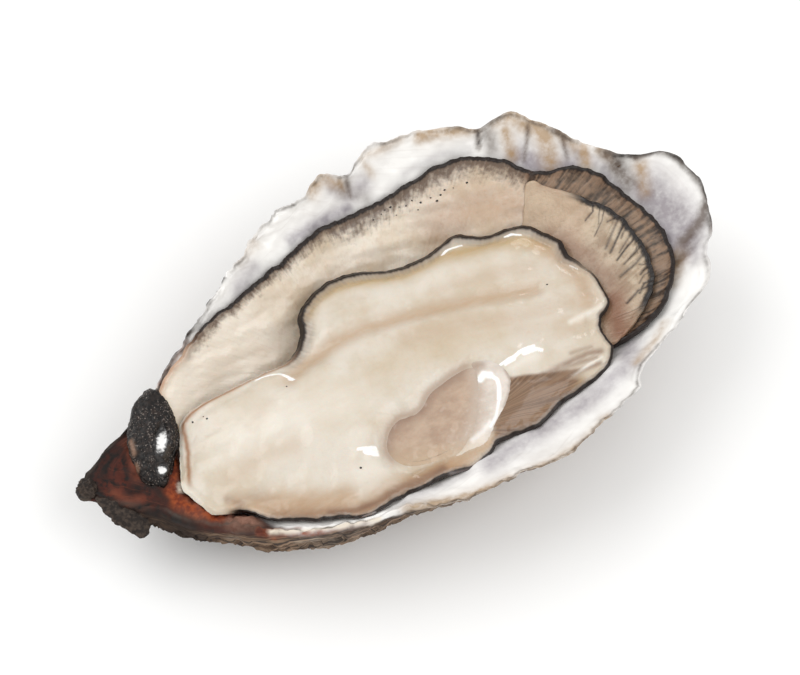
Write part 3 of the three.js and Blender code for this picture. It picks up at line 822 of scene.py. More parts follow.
def shell_finish():
    shell = Finish("oyster shell", IOR=1.38, Coat_Roughness=0.12)
    cloud = shell.noise(5.0, detail=5)
    fine = shell.noise(0.9, detail=4)
    growth = shell.mark("growth")
    outside = shell.mark("outside")
    banded_place = shell.shifted(shell.scaled(shell.place, (NOISE_SCALE,) * 3), growth * BANDS)
    bands = shell.noise_at(banded_place, 5.0)
    lines = shell.noise_at(shell.shifted(banded_place, growth * LINES), 2.0)

    def brushed_patch(name, ragged=0.9):
        """A brushed patch, stain or painted light, whose border wanders with the noise."""
        return (shell.mark(name) * (1.0 + ragged * (cloud - 0.5) + ragged * (fine - 0.5))).held()

    def broken(name, noise):
        return (shell.mark(name) * noise).held()

    plate = shell.coats(
        shell.tint(cloud.step(0.4, 0.62), "#2b0e06", "#4a1b0d"),
        (fine.step(0.46, 0.66), "#120805"),
        (bands.step(0.56, 0.7) * 0.5, "#66351f"),
        (brushed_patch("rose", 1.6) * 0.8, "#7a3f2a"))
    # Lavender grey is painted shade, the brown partly painted shade and the cream partly a painted
    # highlight.
    pearl = shell.coats(
        shell.tint(cloud.step(0.35, 0.7), "#faf8f4", "#eeebe7"),
        (bands.step(0.52, 0.75) * 0.3, "#cfc8c2"),
        (brushed_patch("lavender_shade") * 0.9, "#918990"),
        (brushed_patch("tan", 1.5) * 0.8, "#a58253"),
        (brushed_patch("brown_and_shade", 1.2) * 0.85, "#564436"),
        (shell.mark("plate"), plate),
        (shell.mark("lump") * 0.9, shell.tint(fine.step(0.35, 0.65), "#735040", "#916a59")),
        (brushed_patch("rust", 1.0), shell.tint(fine.step(0.3, 0.7), "#662107", "#96461c")),
        (brushed_patch("horn", 1.0), "#150e0a"),
        (brushed_patch("cream_and_highlight", 0.6), "#efe2cf"))
    chalk = shell.coats(
        shell.tint(bands.step(0.35, 0.65), "#9a8069", "#634d3d"),
        (cloud.step(0.5, 0.75) * 0.7, "#bcae9c"),
        (lines.step(0.50, 0.60) * 0.85, "#393230"),
        (broken("layer", fine + 0.25) * 0.85, "#2b2522"),
        (broken("wall_line", fine + 0.5) * 0.9, "#1c1512"),
        (broken("beak", cloud + 0.5) * 0.9, "#271d19"))
    colour = shell.coats(
        pearl,
        (outside, chalk),
        (broken("crest", fine * 1.6 - 0.15) * 0.9, "#4c433c"))
    rough_here = 0.34 + 0.10 * cloud + outside * 0.42 + shell.mark("plate") * 0.30
    normal = shell.bump((fine * 0.4 + bands * 0.6) * (0.12 + outside.held()), 0.35)
    glaze = 0.35 * (1 - outside.most(shell.mark("plate")).held())
    return shell.wear(Base_Color=colour, Roughness=rough_here, Coat_Weight=glaze, Normal=normal)


finish_piece("oyster_shell", shell_shape, "shell", shell_finish(), shell_marks, "shell")

# %% [markdown]
# ## The worn tip and the flake at the beak
#
# The very tip of the beak is worn to a dark knob, and a flake of old shell stands off below it on
# the near side. Both are small lumps: spheres pulled to shape and roughened, set into the shell.

# %% The knob and the flake
KNOB = (-47.75, -0.9, 13.1)
KNOB_RADIUS = 1.55
KNOB_GRAIN = 3
KNOB_ROUGHNESS = (0.16, 1.6, 51)
FLAKE = [(-47.3, -2.8), (-47.0, -4.8), (-46.6, -6.4), (-45.0, -8.8), (-43.6, -10.3), (-42.3, -9.5),
         (-41.5, -7.0), (-42.8, -5.6), (-44.8, -3.6)]
FLAKE_CENTRE = (-44.4, -6.4)
FLAKE_HEIGHT = 12.8
FLAKE_HALF = 0.6
FLAKE_LEAN = 0.25


def dark_shell_finish():
    horn = Finish("weathered horn", IOR=1.3)
    grain = horn.noise(0.7, detail=5)
    patches = horn.noise(2.4, detail=3)
    colour = horn.coats(
        horn.tint(grain.step(0.4, 0.62), "#241d19", "#453a32"),
        (patches.step(0.55, 0.75) * 0.6, "#665a4e"))
    normal = horn.bump(grain, 0.25)
    return horn.wear(Base_Color=colour, Roughness=0.42 + 0.2 * patches, Normal=normal)


dark_shell = dark_shell_finish()
knob_shape = ball_blank(sectors=96, rows=56)[0]
knob_unit = np.array([vertex.co for vertex in knob_shape.verts])
knob_size = KNOB_RADIUS + rough(knob_unit * KNOB_GRAIN, KNOB_ROUGHNESS)
put(knob_shape, np.array(KNOB) + knob_unit * knob_size[:, None])
finish_piece("beak_knob", knob_shape, "shell", dark_shell)

flake_outline = Outline(FLAKE, FLAKE_CENTRE, ragged=0.18, ragged_size=1.2, seed=52)
flake_shape, angle, row = ball_blank(sectors=160, rows=60)
share = np.sin(row * math.pi) ** 0.6
x, y = flake_outline.at(angle, share)
thick = np.cos(row * math.pi) * (1 - share ** 10)
lean = (y - FLAKE_CENTRE[1]) * FLAKE_LEAN
flake_places = np.column_stack([x, y, FLAKE_HEIGHT + lean + FLAKE_HALF * thick])
flake_places[:, 2] += rough(flake_places, (0.06, 1.6, 53))
put(flake_shape, flake_places)
finish_piece("shell_flake", flake_shape, "shell", dark_shell)

# %% [markdown]
# ## Soft slabs
#
# The mantle, the gills, the body and the muscle are all soft slabs: an outline in plan, a height
# for the top and a height for the underside at each place. One function lays a blank over them.
# The rows run over the top, round a plump lip and back underneath; where there is a hole, they
# climb its wall as well. The lip is pushed out a little at half height, so that edges are round.
# The pigment at the edges needs coordinates that follow the edge, and these come from a fan.

# %% Lay a blank over an outline
TOP_ROWS = 0.66
LIP_ROWS = 0.74
CROWDING = 0.75
DISC_POWER = 0.9
FAN_REACH = 24.0


def crowded(run, amount):
    """Even steps from 0 to 1 that crowd together at both ends."""
    return mix(run, (1 - np.cos(math.pi * run)) / 2, amount)


def lay_slab(angle, row, outline, top_of, under_of, bulge, tuck=0.0, hole=None, wall_rows=0.0,
             twist=0.0):
    """Places of a slab's vertices, and a mask that is 1 on its upper side and up a hole's wall.

    The edge bulges out at half height, and its foot is tucked in under it. A hole may have a
    middle of its own: each line of vertices runs from its rim to the same angle on the edge, or
    from a place that is a twist further back, so that the lines don't cross.
    """
    over = stretch(row, 0, TOP_ROWS)
    lip = stretch(row, TOP_ROWS, LIP_ROWS)
    under = stretch(row, LIP_ROWS, 1 - wall_rows)
    wall = stretch(row, 1 - wall_rows, 1) if hole else np.zeros(len(row))
    if hole:
        share = crowded(over, CROWDING) - under
        inner_x, inner_y = hole.at(angle - twist)
    else:
        share = np.sin(over * math.pi / 2) ** DISC_POWER - under
        inner_x, inner_y = outline.centre
    edge_x, edge_y = outline.at(angle)
    x = mix(inner_x, edge_x, share)
    y = mix(inner_y, edge_y, share)
    drop = (1 - np.cos(math.pi * lip)) / 2 - wall
    height = mix(top_of(x, y), under_of(x, y), drop)
    bulging = bulge * np.sin(math.pi * lip) - tuck * (lip - under) * (1 - wall)
    x = x + bulging * np.cos(angle)
    y = y + bulging * np.sin(angle)
    return np.column_stack([x, y, height]), np.maximum(1 - stretch(row, TOP_ROWS, LIP_ROWS), wall)


def fan(angle, inward):
    """Coordinates that follow an edge: round it and inward from it, without a seam."""
    return np.column_stack([FAN_REACH * np.cos(angle), FAN_REACH * np.sin(angle), inward])


# %% [markdown]
# ## The lower mantle
#
# The mantle is the sheet of flesh that lines the shell. Its broad far lobe shows between the body
# and the white wall, with a frilled black fringe, and at the lip end it narrows to a dark band.
# The slab lies on the hollow of the cup, is plump along the far lobe, and its edge is thrown into
# fine ripples that get deeper towards the border.

# %% Outline and heights of the lower mantle
MANTLE_EDGE = [
    (-33.2, 6.6), (-28.7, 9.7), (-23.3, 12.7), (-16.8, 15.2), (-9.2, 18.1), (-2.9, 20.3),
    (5.5, 21.0), (13.0, 21.7), (17.4, 21.9), (22.1, 21.2), (26.4, 18.3), (28.8, 15.6),
    (30.8, 14.5), (33.4, 13.5), (36.4, 11.1), (38.5, 7.9), (40.2, 4.3), (41.5, 0.4),
    (41.2, -3.5), (40.0, -7.1), (37.4, -10.4), (34.3, -12.6), (30.0, -13.8), (21.0, -12.8),
    (10.0, -12.4), (-6.0, -12.4), (-18.0, -10.5), (-27.0, -6.5), (-32.0, -2.5), (-33.6, 1.5),
]
SEAT = 0.5
MANTLE_CLEARANCE = 0.25
MANTLE_SKIN = 0.9
MANTLE_PLUMP = 1.1
LOBE_ENDS = (20, 30)
mantle_edge = Outline(MANTLE_EDGE, BOWL, ragged=0.14, ragged_size=2.2, seed=61)
MANTLE_CREASE = [(28.9, 15.4), (28.3, 14.2), (27.2, 12.4), (25.6, 9.8)]
CREASE_CUT = 0.6
FRILL_DEPTH = 0.42
FRILL_REACH = 1.3
BEAD_HEIGHT = 0.22


def mantle_top(x, y):
    share = mantle_edge.share(x, y)
    lobe = MANTLE_PLUMP * (1 - share ** 4) * (1 - soft_step(x, *LOBE_ENDS))
    return cup_inside(x, y) + SEAT + MANTLE_SKIN + np.maximum(lobe, 0)


# %% Shape the lower mantle
mantle_shape, angle, row = ball_blank(sectors=600, rows=132)
mantle_places, mantle_upper = lay_slab(
    angle, row, mantle_edge, mantle_top, lambda x, y: cup_inside(x, y) + MANTLE_CLEARANCE,
    bulge=0.28)
mantle_inward = distance_to(mantle_places, mantle_edge.path())
x, y = mantle_places[:, 0], mantle_places[:, 1]
round_edge = np.column_stack([np.cos(angle), np.sin(angle)]) * FAN_REACH
frill = rough(round_edge, (0.5, 2.4, 62), (0.5, 0.9, 63, 2))
frill_depth = FRILL_DEPTH * np.exp(-mantle_inward / FRILL_REACH)
bead = BEAD_HEIGHT * bell(mantle_inward, 0.35, 0.35)
soft_folds = rough(mantle_places * (0.5, 1.0, 1.0), (0.30, 6.0, 64))
mantle_crease = strokes(mantle_places, [(MANTLE_CREASE, 0.35, 1.0)])
mantle_relief = frill * frill_depth + bead + soft_folds * soft_step(mantle_inward, 0.5, 3)
mantle_relief -= CREASE_CUT * mantle_crease
mantle_places[:, 2] += mantle_relief * mantle_upper
put(mantle_shape, mantle_places)
print("frill of the mantle up to", (frill * frill_depth).max().round(2), "mm high")

# %% [markdown]
# ## Flesh in one recipe
#
# All the soft pieces are wet, slightly translucent flesh: light goes in and spreads, and a film
# of liquor gives small sharp glints. So they share one base, Principled with subsurface
# scattering and a coat, and differ in colour and relief. The pigment at the edges follows the
# distance from the edge, with streaks of noise that run inward from it. Where the pigment is
# dense, the film is thinner, so that the ink stays dark.

# %% Wet flesh
FLESH_SPREAD = (1.0, 0.45, 0.28)
FLESH_DEPTH = 1.6
DRAWN_OUT = 0.12


def flesh(name, scatter=0.12, coat=0.55):
    return Finish(name, Subsurface_Weight=scatter, Subsurface_Radius=FLESH_SPREAD, IOR=1.38,
                  Subsurface_Scale=FLESH_DEPTH * MM, Coat_Roughness=0.09, Coat_Weight=coat)


def streaks_inward(finish, size):
    """Fine noise drawn out into lines that run in from the edge."""
    place = finish.mark("fan", "Vector")
    return finish.noise_at(finish.scaled(place, (1 / size, 1 / size, DRAWN_OUT / size)), 3.0)


# %% Colour the lower mantle
def mantle_finish():
    mantle = flesh("lower mantle")
    cloud = mantle.noise(6.0, detail=4)
    mottle = mantle.noise(0.8, detail=4)
    streaks = streaks_inward(mantle, 0.42)
    inward = mantle.mark("inward")
    ink = mantle.mark("ink")
    dark_side = mantle.mark("dark_side")
    ragged = (streaks - 0.5) * 0.6 + (mottle - 0.5) * 1.2
    fade = 1 - (inward / (0.5 + mantle.mark("wide") * 2.3) + ragged).step(0.20, 1.1)
    band = mantle.tint((streaks * 0.7 + mottle * 0.3).step(0.36, 0.62), "#2a1c15", "#876c56")
    line = inward / mantle.mark("line_width") + (streaks + mottle - 1.0) * 0.5
    border = 1 - line.step(0.7, 1.2)
    colour = mantle.coats(
        mantle.tint(cloud.step(0.38, 0.66), "#e8dccb", "#d8c6ad"),
        (mantle.mark("shade") * (0.5 + 0.5 * mottle), "#b3937a"),
        (mottle.step(0.52, 0.78) * 0.3, "#c4a688"),
        (mantle.mark("pale_end"), "#eadfd0"),
        (fade * ink * 0.92, "#5c4636"),
        (dark_side * 0.93, band),
        (border * ink, "#1d120c"),
        (mantle.mark("crease") * 0.8, "#4c3c33"),
        (mantle.mark("rusty"), "#ad8263"))
    normal = mantle.bump(mottle * 0.5 + streaks * (0.4 + dark_side), 0.22)
    film = 0.45 - 0.40 * dark_side.most(border)
    return mantle.wear(Base_Color=colour, Roughness=0.42 - 0.1 * cloud, Coat_Weight=film,
                       Normal=normal)


MANTLE_SHADE = [
    ([(14.4, 15.5), (20.0, 15.6), (25.6, 12.4)], 3.6, 0.9),
    ([(-11.0, 13.0), (-3.1, 15.6), (5.0, 15.0)], 1.8, 0.18),
    ([(-16.0, 7.6), (-13.0, 10.6), (-9.4, 13.4)], 1.2, 0.2),
    ([(28.4, 11.0), (30.5, 8.0)], 1.6, 0.5),
    ([(-30.0, 5.6), (-24.0, 7.4), (-17.6, 8.4)], 1.0, 0.35),
]
dark_side = soft_step(x, 26.8, 28.6) * soft_step(-y, -16.6, -15.6)
mantle_marks = {
    "inward": mantle_inward,
    "fan": fan(angle, mantle_inward),
    "wide": 0.4 + 0.6 * soft_step(x, -8, 4) * (1 - soft_step(x, 26, 30)),
    "ink": soft_step(x, -30, -25),
    "line_width": mix(0.24, 0.5, soft_step(x, -27, -13)),
    "dark_side": dark_side * (1 - soft_step(mantle_inward, 5.0, 6.5)),
    "pale_end": 0.8 * (1 - soft_step(x, -22, -8)) * soft_step(mantle_inward, 0.4, 1.6),
    "shade": strokes(mantle_places, MANTLE_SHADE),
    "crease": mantle_crease,
    "rusty": (1 - soft_step(x, -30, -24)) * bell(mantle_inward, 0, 0.5) * 0.75,
}
finish_piece("mantle_lobe", mantle_shape, "mantle", mantle_finish(), mantle_marks, "lower_mantle")

# %% [markdown]
# ## The gills
#
# At the lip end a pleated crescent of gill shows between the body and the dark fringe. The pleats
# fan out from under the body. They're real ridges, cut into the slab as a wave round its middle
# point, uneven in width, and deepest at the outer edge. Longer dark lines are scored in between
# them at random. Toward its far end the slab thins out and turns smooth.

# %% Outline and heights of the gills
GILL_CENTRE = (27, 0)
GILL_EDGE = [
    (28.0, 14.3), (30.6, 11.8), (34.1, 8.0), (36.7, 4.7), (37.8, -0.7), (37.2, -6.0),
    (35.2, -9.2), (31.6, -11.8), (27.2, -13.4), (24.2, -12.0), (23.0, -6.0), (22.8, 1.0),
    (23.4, 7.0), (25.6, 10.8),
]
GILL_THICKNESS = (1.45, 0.85)
GILL_CLEARANCE = 0.12
THIN_END = (50, 70)
THINNEST = 0.3
PLEAT_CENTRE = (20.5, -8.5)
PLEATS = 96
PLEAT_REACH = 14
PLEAT_DEPTH = 0.26
PLEATED_TO = (42, 56)
gill_edge = Outline(GILL_EDGE, GILL_CENTRE, ragged=0.12, ragged_size=1.8, seed=81)


def gill_seat(x, y):
    return mantle_top(x, y) + GILL_CLEARANCE


def gill_top(x, y):
    share = np.clip(gill_edge.share(x, y), 0, 1)
    turn = np.degrees(np.arctan2(y - PLEAT_CENTRE[1], x - PLEAT_CENTRE[0]))
    thin_end = mix(1, THINNEST, soft_step(turn, *THIN_END))
    return gill_seat(x, y) + mix(*GILL_THICKNESS, share ** 4) * thin_end


# %% Pleats and dark lines of the gills
gill_shape, angle, row = ball_blank(sectors=620, rows=110)
gill_places, gill_upper = lay_slab(angle, row, gill_edge, gill_top, gill_seat, bulge=0.3)
gill_inward = distance_to(gill_places, gill_edge.path())
x, y = gill_places[:, 0], gill_places[:, 1]
pleat_angle = np.arctan2(y - PLEAT_CENTRE[1], x - PLEAT_CENTRE[0])
pleat_round = np.column_stack([np.cos(pleat_angle), np.sin(pleat_angle)]) * PLEAT_REACH
pleat_phase = pleat_angle * PLEATS + rough(pleat_round, (3.4, 3.2, 82))
pleat = 0.5 + 0.5 * np.sin(pleat_phase + rough(gill_places, (0.8, 3.0, 84)))
pleat_deep = 0.15 + 0.85 * stretch(uneven(pleat_round, 1.5, 83), 0.0, 0.8)
smooth_end = 1 - soft_step(pleat_angle, *np.radians(PLEATED_TO))
reach_in = 2.6 + rough(pleat_round, (1.6, 1.1, 85))
toward_edge = (1 - soft_step(gill_inward, 0.6 * reach_in, 1.5 * reach_in)) * smooth_end
GILL_LINES = 17
LINED_ARC = (-44, 42)
LINE_CUT = 0.14
LINE_STRAY = 2.4
LINE_LENGTHS = (1.2, 5.0)
BEND_PLACE = 0.45
BENDS = (-0.5, 0.5)
END_BENDS = (-0.5, 0.7)
GILL_LINE_WIDTHS = (0.09, 0.24)
GILL_LINE_STRENGTHS = (0.5, 1.0)
dice = np.random.default_rng(86)
gill_lines = []
strays = dice.uniform(-LINE_STRAY, LINE_STRAY, GILL_LINES)
for turn in np.linspace(*LINED_ARC, GILL_LINES) + strays:
    outer = np.array(gill_edge.at(math.radians(turn)))
    run_in = np.array(PLEAT_CENTRE) - outer
    run_in = run_in / np.linalg.norm(run_in)
    sideways = np.array([-run_in[1], run_in[0]])
    length = dice.uniform(*LINE_LENGTHS)
    path = [outer, outer + run_in * length * BEND_PLACE + sideways * dice.uniform(*BENDS),
            outer + run_in * length + sideways * dice.uniform(*END_BENDS)]
    line_width = dice.uniform(*GILL_LINE_WIDTHS)
    gill_lines.append((path, line_width, dice.uniform(*GILL_LINE_STRENGTHS)))
gill_line = strokes(gill_places, gill_lines)
pleat_here = PLEAT_DEPTH * pleat_deep * (0.25 * smooth_end + 0.75 * toward_edge)
gill_relief = (pleat - 0.5) * pleat_here - LINE_CUT * gill_line
gill_relief += BEAD_HEIGHT * bell(gill_inward, 0.3, 0.3) * soft_step(x, 29, 33)
gill_places[:, 2] += gill_relief * gill_upper
put(gill_shape, gill_places)
print("gills with", PLEATS, "pleats to the turn and", len(gill_lines), "dark lines")


# %% Colour the gills
def gill_finish():
    gills = flesh("gills", 0.10, 0.4)
    cloud = gills.noise(3.0, detail=4)
    mottle = gills.noise(0.5, detail=4)
    valley = (1 - gills.mark("pleat")) ** 2.2
    lines = (valley * gills.mark("deep") * (0.10 + gills.mark("toward") * 0.6)).held()
    border = 1 - (gills.mark("inward") + (mottle - 0.5) * 0.6).step(0.35, 0.85)
    # The rust coat is mostly painted shade along the edge of the body.
    colour = gills.coats(
        gills.tint(cloud.step(0.35, 0.65), "#c6b49c", "#a08a72"),
        (mottle.step(0.5, 0.75) * 0.4, "#84694f"),
        (gills.mark("plain") * 0.6, "#ccb298"),
        (gills.mark("rust") * 0.85, "#83573f"),
        ((lines * (0.5 + mottle)).held() * 0.85, "#54412f"),
        ((gills.mark("line") * (0.4 + mottle)).held(), "#2b211d"),
        (border * gills.mark("ink"), "#1c1512"))
    normal = gills.bump(mottle, 0.15)
    return gills.wear(Base_Color=colour, Roughness=0.38 + 0.1 * cloud, Normal=normal)


# Rust-brown, mostly painted shade along the edge of the body, with a brown patch at the upper end.
GILL_RUST_AND_SHADE = [
    ([(30.6, -7.0), (29.6, -10.0), (28.4, -12.6)], 2.2, 1.0),
    ([(27.8, 6.6), (29.4, 3.6), (30.8, 0.2), (31.2, -3.0), (30.8, -7.0)], 1.7, 0.62),
    ([(29.6, 13.4), (31.6, 11.6)], 0.8, 0.5),
]
gill_marks = {
    "pleat": pleat,
    "deep": pleat_deep,
    "toward": toward_edge,
    "inward": gill_inward,
    "line": gill_line,
    "ink": soft_step(x, 31, 34),
    "plain": 1 - smooth_end,
    # Mostly painted shade along the body's edge.
    "rust": strokes(gill_places, GILL_RUST_AND_SHADE),
}
finish_piece("gill_fan", gill_shape, "gills", gill_finish(), gill_marks, "gills")

# %% [markdown]
# ## The body's form
#
# The body is the plump cream part, covered by the upper mantle, whose dark wavy edge is its
# border. The muscle comes through it, so it's made from the ring blank, with a hole a little
# smaller than the muscle. Its top is a dome that rolls down to the edge, with a long groove,
# softer folds beside it, a step down to the brown triangle near the muscle, and a raised bead
# along the edge. Close to the muscle the top dips to the muscle's own surface.

# %% The driving curves of the body and the muscle
BODY_CENTRE = (-1.6, -5.9)
BODY_EDGE = [
    (-33.4, 0.0, 14.8), (-34.3, -2.1, 14.9), (-35.4, -5.0, 15.2), (-36.2, -7.3, 15.5),
    (-35.6, -9.6, 15.6), (-34.1, -12.9, 15.6), (-32.9, -13.5, 15.6), (-30.6, -14.0, 15.2),
    (-29.2, -14.7, 15.2), (-28.3, -16.0, 15.6), (-26.6, -17.9, 16.1), (-23.9, -19.0, 16.2),
    (-21.6, -20.4, 16.4), (-19.0, -21.2, 16.5), (-16.6, -22.6, 17.0), (-13.8, -22.8, 16.9),
    (-10.4, -22.1, 16.3), (-7.2, -21.8, 15.8), (-4.1, -21.5, 15.3), (-1.0, -21.5, 15.0),
    (0.9, -22.0, 15.0), (2.4, -21.6, 14.9), (4.0, -20.9, 14.8), (6.0, -19.9, 14.7),
    (9.2, -19.8, 14.7), (12.2, -20.0, 14.8), (14.1, -19.3, 14.8), (16.1, -18.4, 14.9),
    (19.5, -17.9, 15.3), (21.8, -17.6, 15.8), (23.4, -17.2, 16.2), (25.2, -16.2, 16.4),
    (26.4, -14.4, 16.4), (26.4, -12.7, 16.3), (26.5, -10.9, 15.9), (27.4, -9.2, 15.6),
    (28.7, -8.5, 15.6), (29.7, -7.3, 15.6), (29.9, -5.9, 15.5), (29.8, -4.3, 15.3),
    (29.9, -2.0, 15.1), (29.0, 0.3, 15.0), (28.1, 1.8, 15.0), (28.2, 3.2, 15.0),
    (28.3, 4.7, 15.0), (27.1, 6.5, 15.0), (25.4, 8.7, 15.0), (24.4, 9.4, 14.9),
    (21.9, 9.9, 14.8), (19.2, 10.2, 14.7), (17.0, 11.2, 14.7), (15.4, 12.2, 14.6),
    (14.0, 12.3, 14.5), (10.3, 11.2, 14.4), (5.8, 11.1, 14.4), (3.0, 11.8, 14.5),
    (0.9, 12.5, 14.8), (-2.7, 13.2, 15.0), (-6.3, 12.8, 15.0), (-9.0, 11.5, 15.0),
    (-10.8, 9.9, 14.8), (-11.7, 7.4, 14.6), (-13.5, 5.2, 14.6), (-15.6, 4.0, 14.8),
    (-19.1, 3.9, 15.0), (-24.2, 3.6, 15.0), (-28.1, 3.4, 15.0), (-30.9, 2.8, 15.0),
    (-32.4, 1.8, 14.9),
]
MUSCLE_CENTRE = (1.5, -14.4)
MUSCLE_EDGE = [
    (-9.0, -14.8), (-8.0, -13.0), (-6.6, -11.9), (-5.2, -11.5), (-3.4, -11.8), (-2.1, -11.5),
    (-0.2, -10.1), (2.1, -9.4), (5.3, -8.8), (7.1, -8.7), (9.5, -9.4), (10.8, -10.9),
    (11.1, -12.5), (10.3, -14.0), (8.7, -15.7), (6.8, -17.1), (5.2, -18.5), (4.0, -19.3),
    (1.7, -19.4), (-0.6, -19.5), (-3.4, -19.3), (-6.0, -18.9), (-7.8, -18.0), (-8.8, -16.6),
]
MUSCLE_TOP = 16.9
MUSCLE_TILT = 0.2
MUSCLE_DOME = 0.3
MUSCLE_SINK = 0.05
MUSCLE_REACH = 1.7
HOLE_INSET = 1.2
HOLE_TWIST = math.radians(28)
TWISTED_SIDE = (212, 75)
CROWN = 18.0
DOME_POWER = 3.6
BODY_WINDOW = 10
WAVY_EDGE = (0.72, 0.97)
body_middle = Outline(BODY_EDGE, BODY_CENTRE)
body_calm = body_middle.calmed(BODY_WINDOW)
body_edge = Outline(BODY_EDGE, BODY_CENTRE, ragged=0.12, ragged_size=2.6, seed=91)
muscle_edge = Outline(MUSCLE_EDGE, MUSCLE_CENTRE)
muscle_hole = Outline(MUSCLE_EDGE, MUSCLE_CENTRE)
muscle_hole.radii = muscle_hole.radii - HOLE_INSET
print("hole for the muscle at least", muscle_hole.radii.min().round(1), "mm from its middle")

# %% Folds on the body, as paths in plan with a half width and a depth
GROOVE = [
    (-16.3, 0.3), (-13.4, 1.9), (-9.1, 2.8), (-4.1, 3.0), (4.6, 2.1), (12.9, 0.1), (21.0, -1.4),
]
LOW_FOLD = [(1.0, -1.0), (8.0, -2.4), (16.0, -4.6), (24.6, -5.6)]
UPPER_PLEAT = [(15.5, -14.2), (19.6, -14.6), (23.5, -14.9)]
LOWER_PLEAT = [(15.9, -15.0), (20.2, -15.7), (23.6, -15.9)]
FOLDS = [
    (GROOVE, 1.5, 0.85),
    (LOW_FOLD, 1.3, 0.35),
    ([(8.0, 4.6), (16.0, 3.4), (22.0, 2.6)], 1.2, 0.22),
    ([(-30.0, -8.6), (-24.6, -7.6), (-19.0, -8.6)], 1.6, 0.30),
    ([(-33.0, -10.6), (-29.0, -12.9), (-25.0, -15.6), (-20.0, -18.4), (-14.0, -19.6)], 0.9, 0.2),
    (UPPER_PLEAT, 0.5, 0.16),
    (LOWER_PLEAT, 0.4, 0.12),
]
RIDGES = [
    ([(-16.6, -2.0), (-12.0, -0.4), (-4.0, 0.6), (5.0, -0.4)], 1.6, 0.20),
    ([(-20.6, 2.2), (-17.6, 1.8), (-15.6, 0.0)], 0.9, 0.45),
    ([(11.2, -10.4), (14.0, -9.8), (17.0, -10.2)], 1.1, 0.35),
    ([(22.4, -8.6), (28.0, -7.8)], 0.9, 0.30),
    ([(-12.6, -14.4), (-10.6, -14.4)], 1.2, 0.25),
]
FOLD_START = (11.2, -12.6)
FOLD_END = (24.5, -16.2)
FOLD_DROP = 0.8


def fold_drop(x, y):
    """How far the surface lies below the upper fold, on its near side."""
    along = (x - FOLD_START[0]) / (FOLD_END[0] - FOLD_START[0])
    beyond = mix(FOLD_START[1], FOLD_END[1], along) - y
    within = soft_step(along, -0.25, 0.1) * (1 - soft_step(along, 0.85, 1.05))
    return within * soft_step(beyond, 0, 1.2)


def body_top(x, y):
    calm = body_calm.share(x, y)
    share = mix(calm, body_middle.share(x, y), soft_step(calm, *WAVY_EDGE))
    full = 1 - np.clip(share, 0, 1) ** DOME_POWER
    edge_height = body_middle.height(body_middle.angle(x, y))
    return mix(edge_height, CROWN, full) - FOLD_DROP * fold_drop(x, y) * full


def muscle_top(x, y):
    lean = (y - MUSCLE_CENTRE[1]) * MUSCLE_TILT
    return MUSCLE_TOP + lean - MUSCLE_DOME * muscle_edge.share(x, y) ** 2


def muscle_surface(x, y):
    return muscle_top(x, y) + rough(np.column_stack([x, y]), (0.06, 3.0, 101))


def over(outline, x, y):
    """1 over a piece and just past its edge, easing to 0 further out."""
    return 1 - soft_step(outline.share(x, y), 1.02, 1.2)


SHELL_CLEARANCE = 0.3
MEAT_CLEARANCE = 0.12
SKIRT = 1.0
SKIRT_PART = (0.72, 0.86)


def body_underside(x, y):
    """The body's underside, which rises near the edge to leave a thin skirt."""
    shell = cup_inside(x, y) + SHELL_CLEARANCE
    on_mantle = mix(shell, np.maximum(shell, mantle_top(x, y)), over(mantle_edge, x, y))
    on_gills = np.maximum(on_mantle, gill_top(x, y))
    under = mix(on_mantle, on_gills, over(gill_edge, x, y)) + MEAT_CLEARANCE
    skirt = np.maximum(under, body_top(x, y) - SKIRT)
    return mix(under, skirt, soft_step(body_middle.share(x, y), *SKIRT_PART))


# %% Shape the body
RIPPLE_DEPTH = 0.24
RIPPLE_REACH = 1.2
FAR_SIDE = (-4, 2)
EDGE_BEAD = (0.12, 0.22)
BEAD_TROUGH = (0.10, 0.20)
body_shape, angle, row = ring_blank(sectors=600, rows=150)
body_places, body_upper = lay_slab(
    angle, row, body_edge, body_top, body_underside, bulge=0.20, tuck=0.3, hole=muscle_hole,
    wall_rows=0.06, twist=HOLE_TWIST * swell(angle, *TWISTED_SIDE))
body_inward = distance_to(body_places, body_edge.path())
at_muscle = distance_to(body_places, muscle_edge.path())
x, y = body_places[:, 0], body_places[:, 1]
far_part = soft_step(y, *FAR_SIDE)
ripple = rough(body_places, (0.6, 3.4, 92), (0.4, 1.4, 93, 2))
body_relief = rough(body_places, (0.30, 13, 94)) * soft_step(body_inward, 1.0, 4.0)
body_relief += rough(body_places, (0.02, 2.6, 95))
body_relief += RIPPLE_DEPTH * ripple * np.exp(-body_inward / RIPPLE_REACH)
body_relief += mix(*EDGE_BEAD, far_part) * bell(body_inward, 0.55, 0.42)
body_relief -= mix(*BEAD_TROUGH, far_part) * bell(body_inward, 1.7, 0.6)
for fold in FOLDS:
    body_relief -= strokes(body_places, [fold])
for ridge in RIDGES:
    body_relief += strokes(body_places, [ridge])
to_muscle = bell(np.where(muscle_edge.share(x, y) < 1, 0, at_muscle), 0, MUSCLE_REACH)
gap_to_muscle = muscle_surface(x, y) - MUSCLE_SINK - body_places[:, 2]
body_relief = mix(body_relief, gap_to_muscle, to_muscle)
body_places[:, 2] += body_relief * body_upper
put(body_shape, body_places)
print("body from", body_places[:, 2].min().round(1), "to", body_places[:, 2].max().round(1), "mm")

# %% [markdown]
# ## The body's finish
#
# The flesh is cream, palest over the plump hinge end and tan along the folds and the near edge,
# where the tan and brown are partly painted shade. A grey strip on the lower side of the near lip
# and a ring along the muscle's upper-left side are painted shade, and white spots with pale
# strokes round them are painted highlights.
# The edge is inked: a black line where the mantle's border is pigmented, with a grey veil inside
# it, that turns to a thin rusty line round the hinge end. Strokes give the places, and noise
# drawn out along the body keeps them from looking airbrushed.

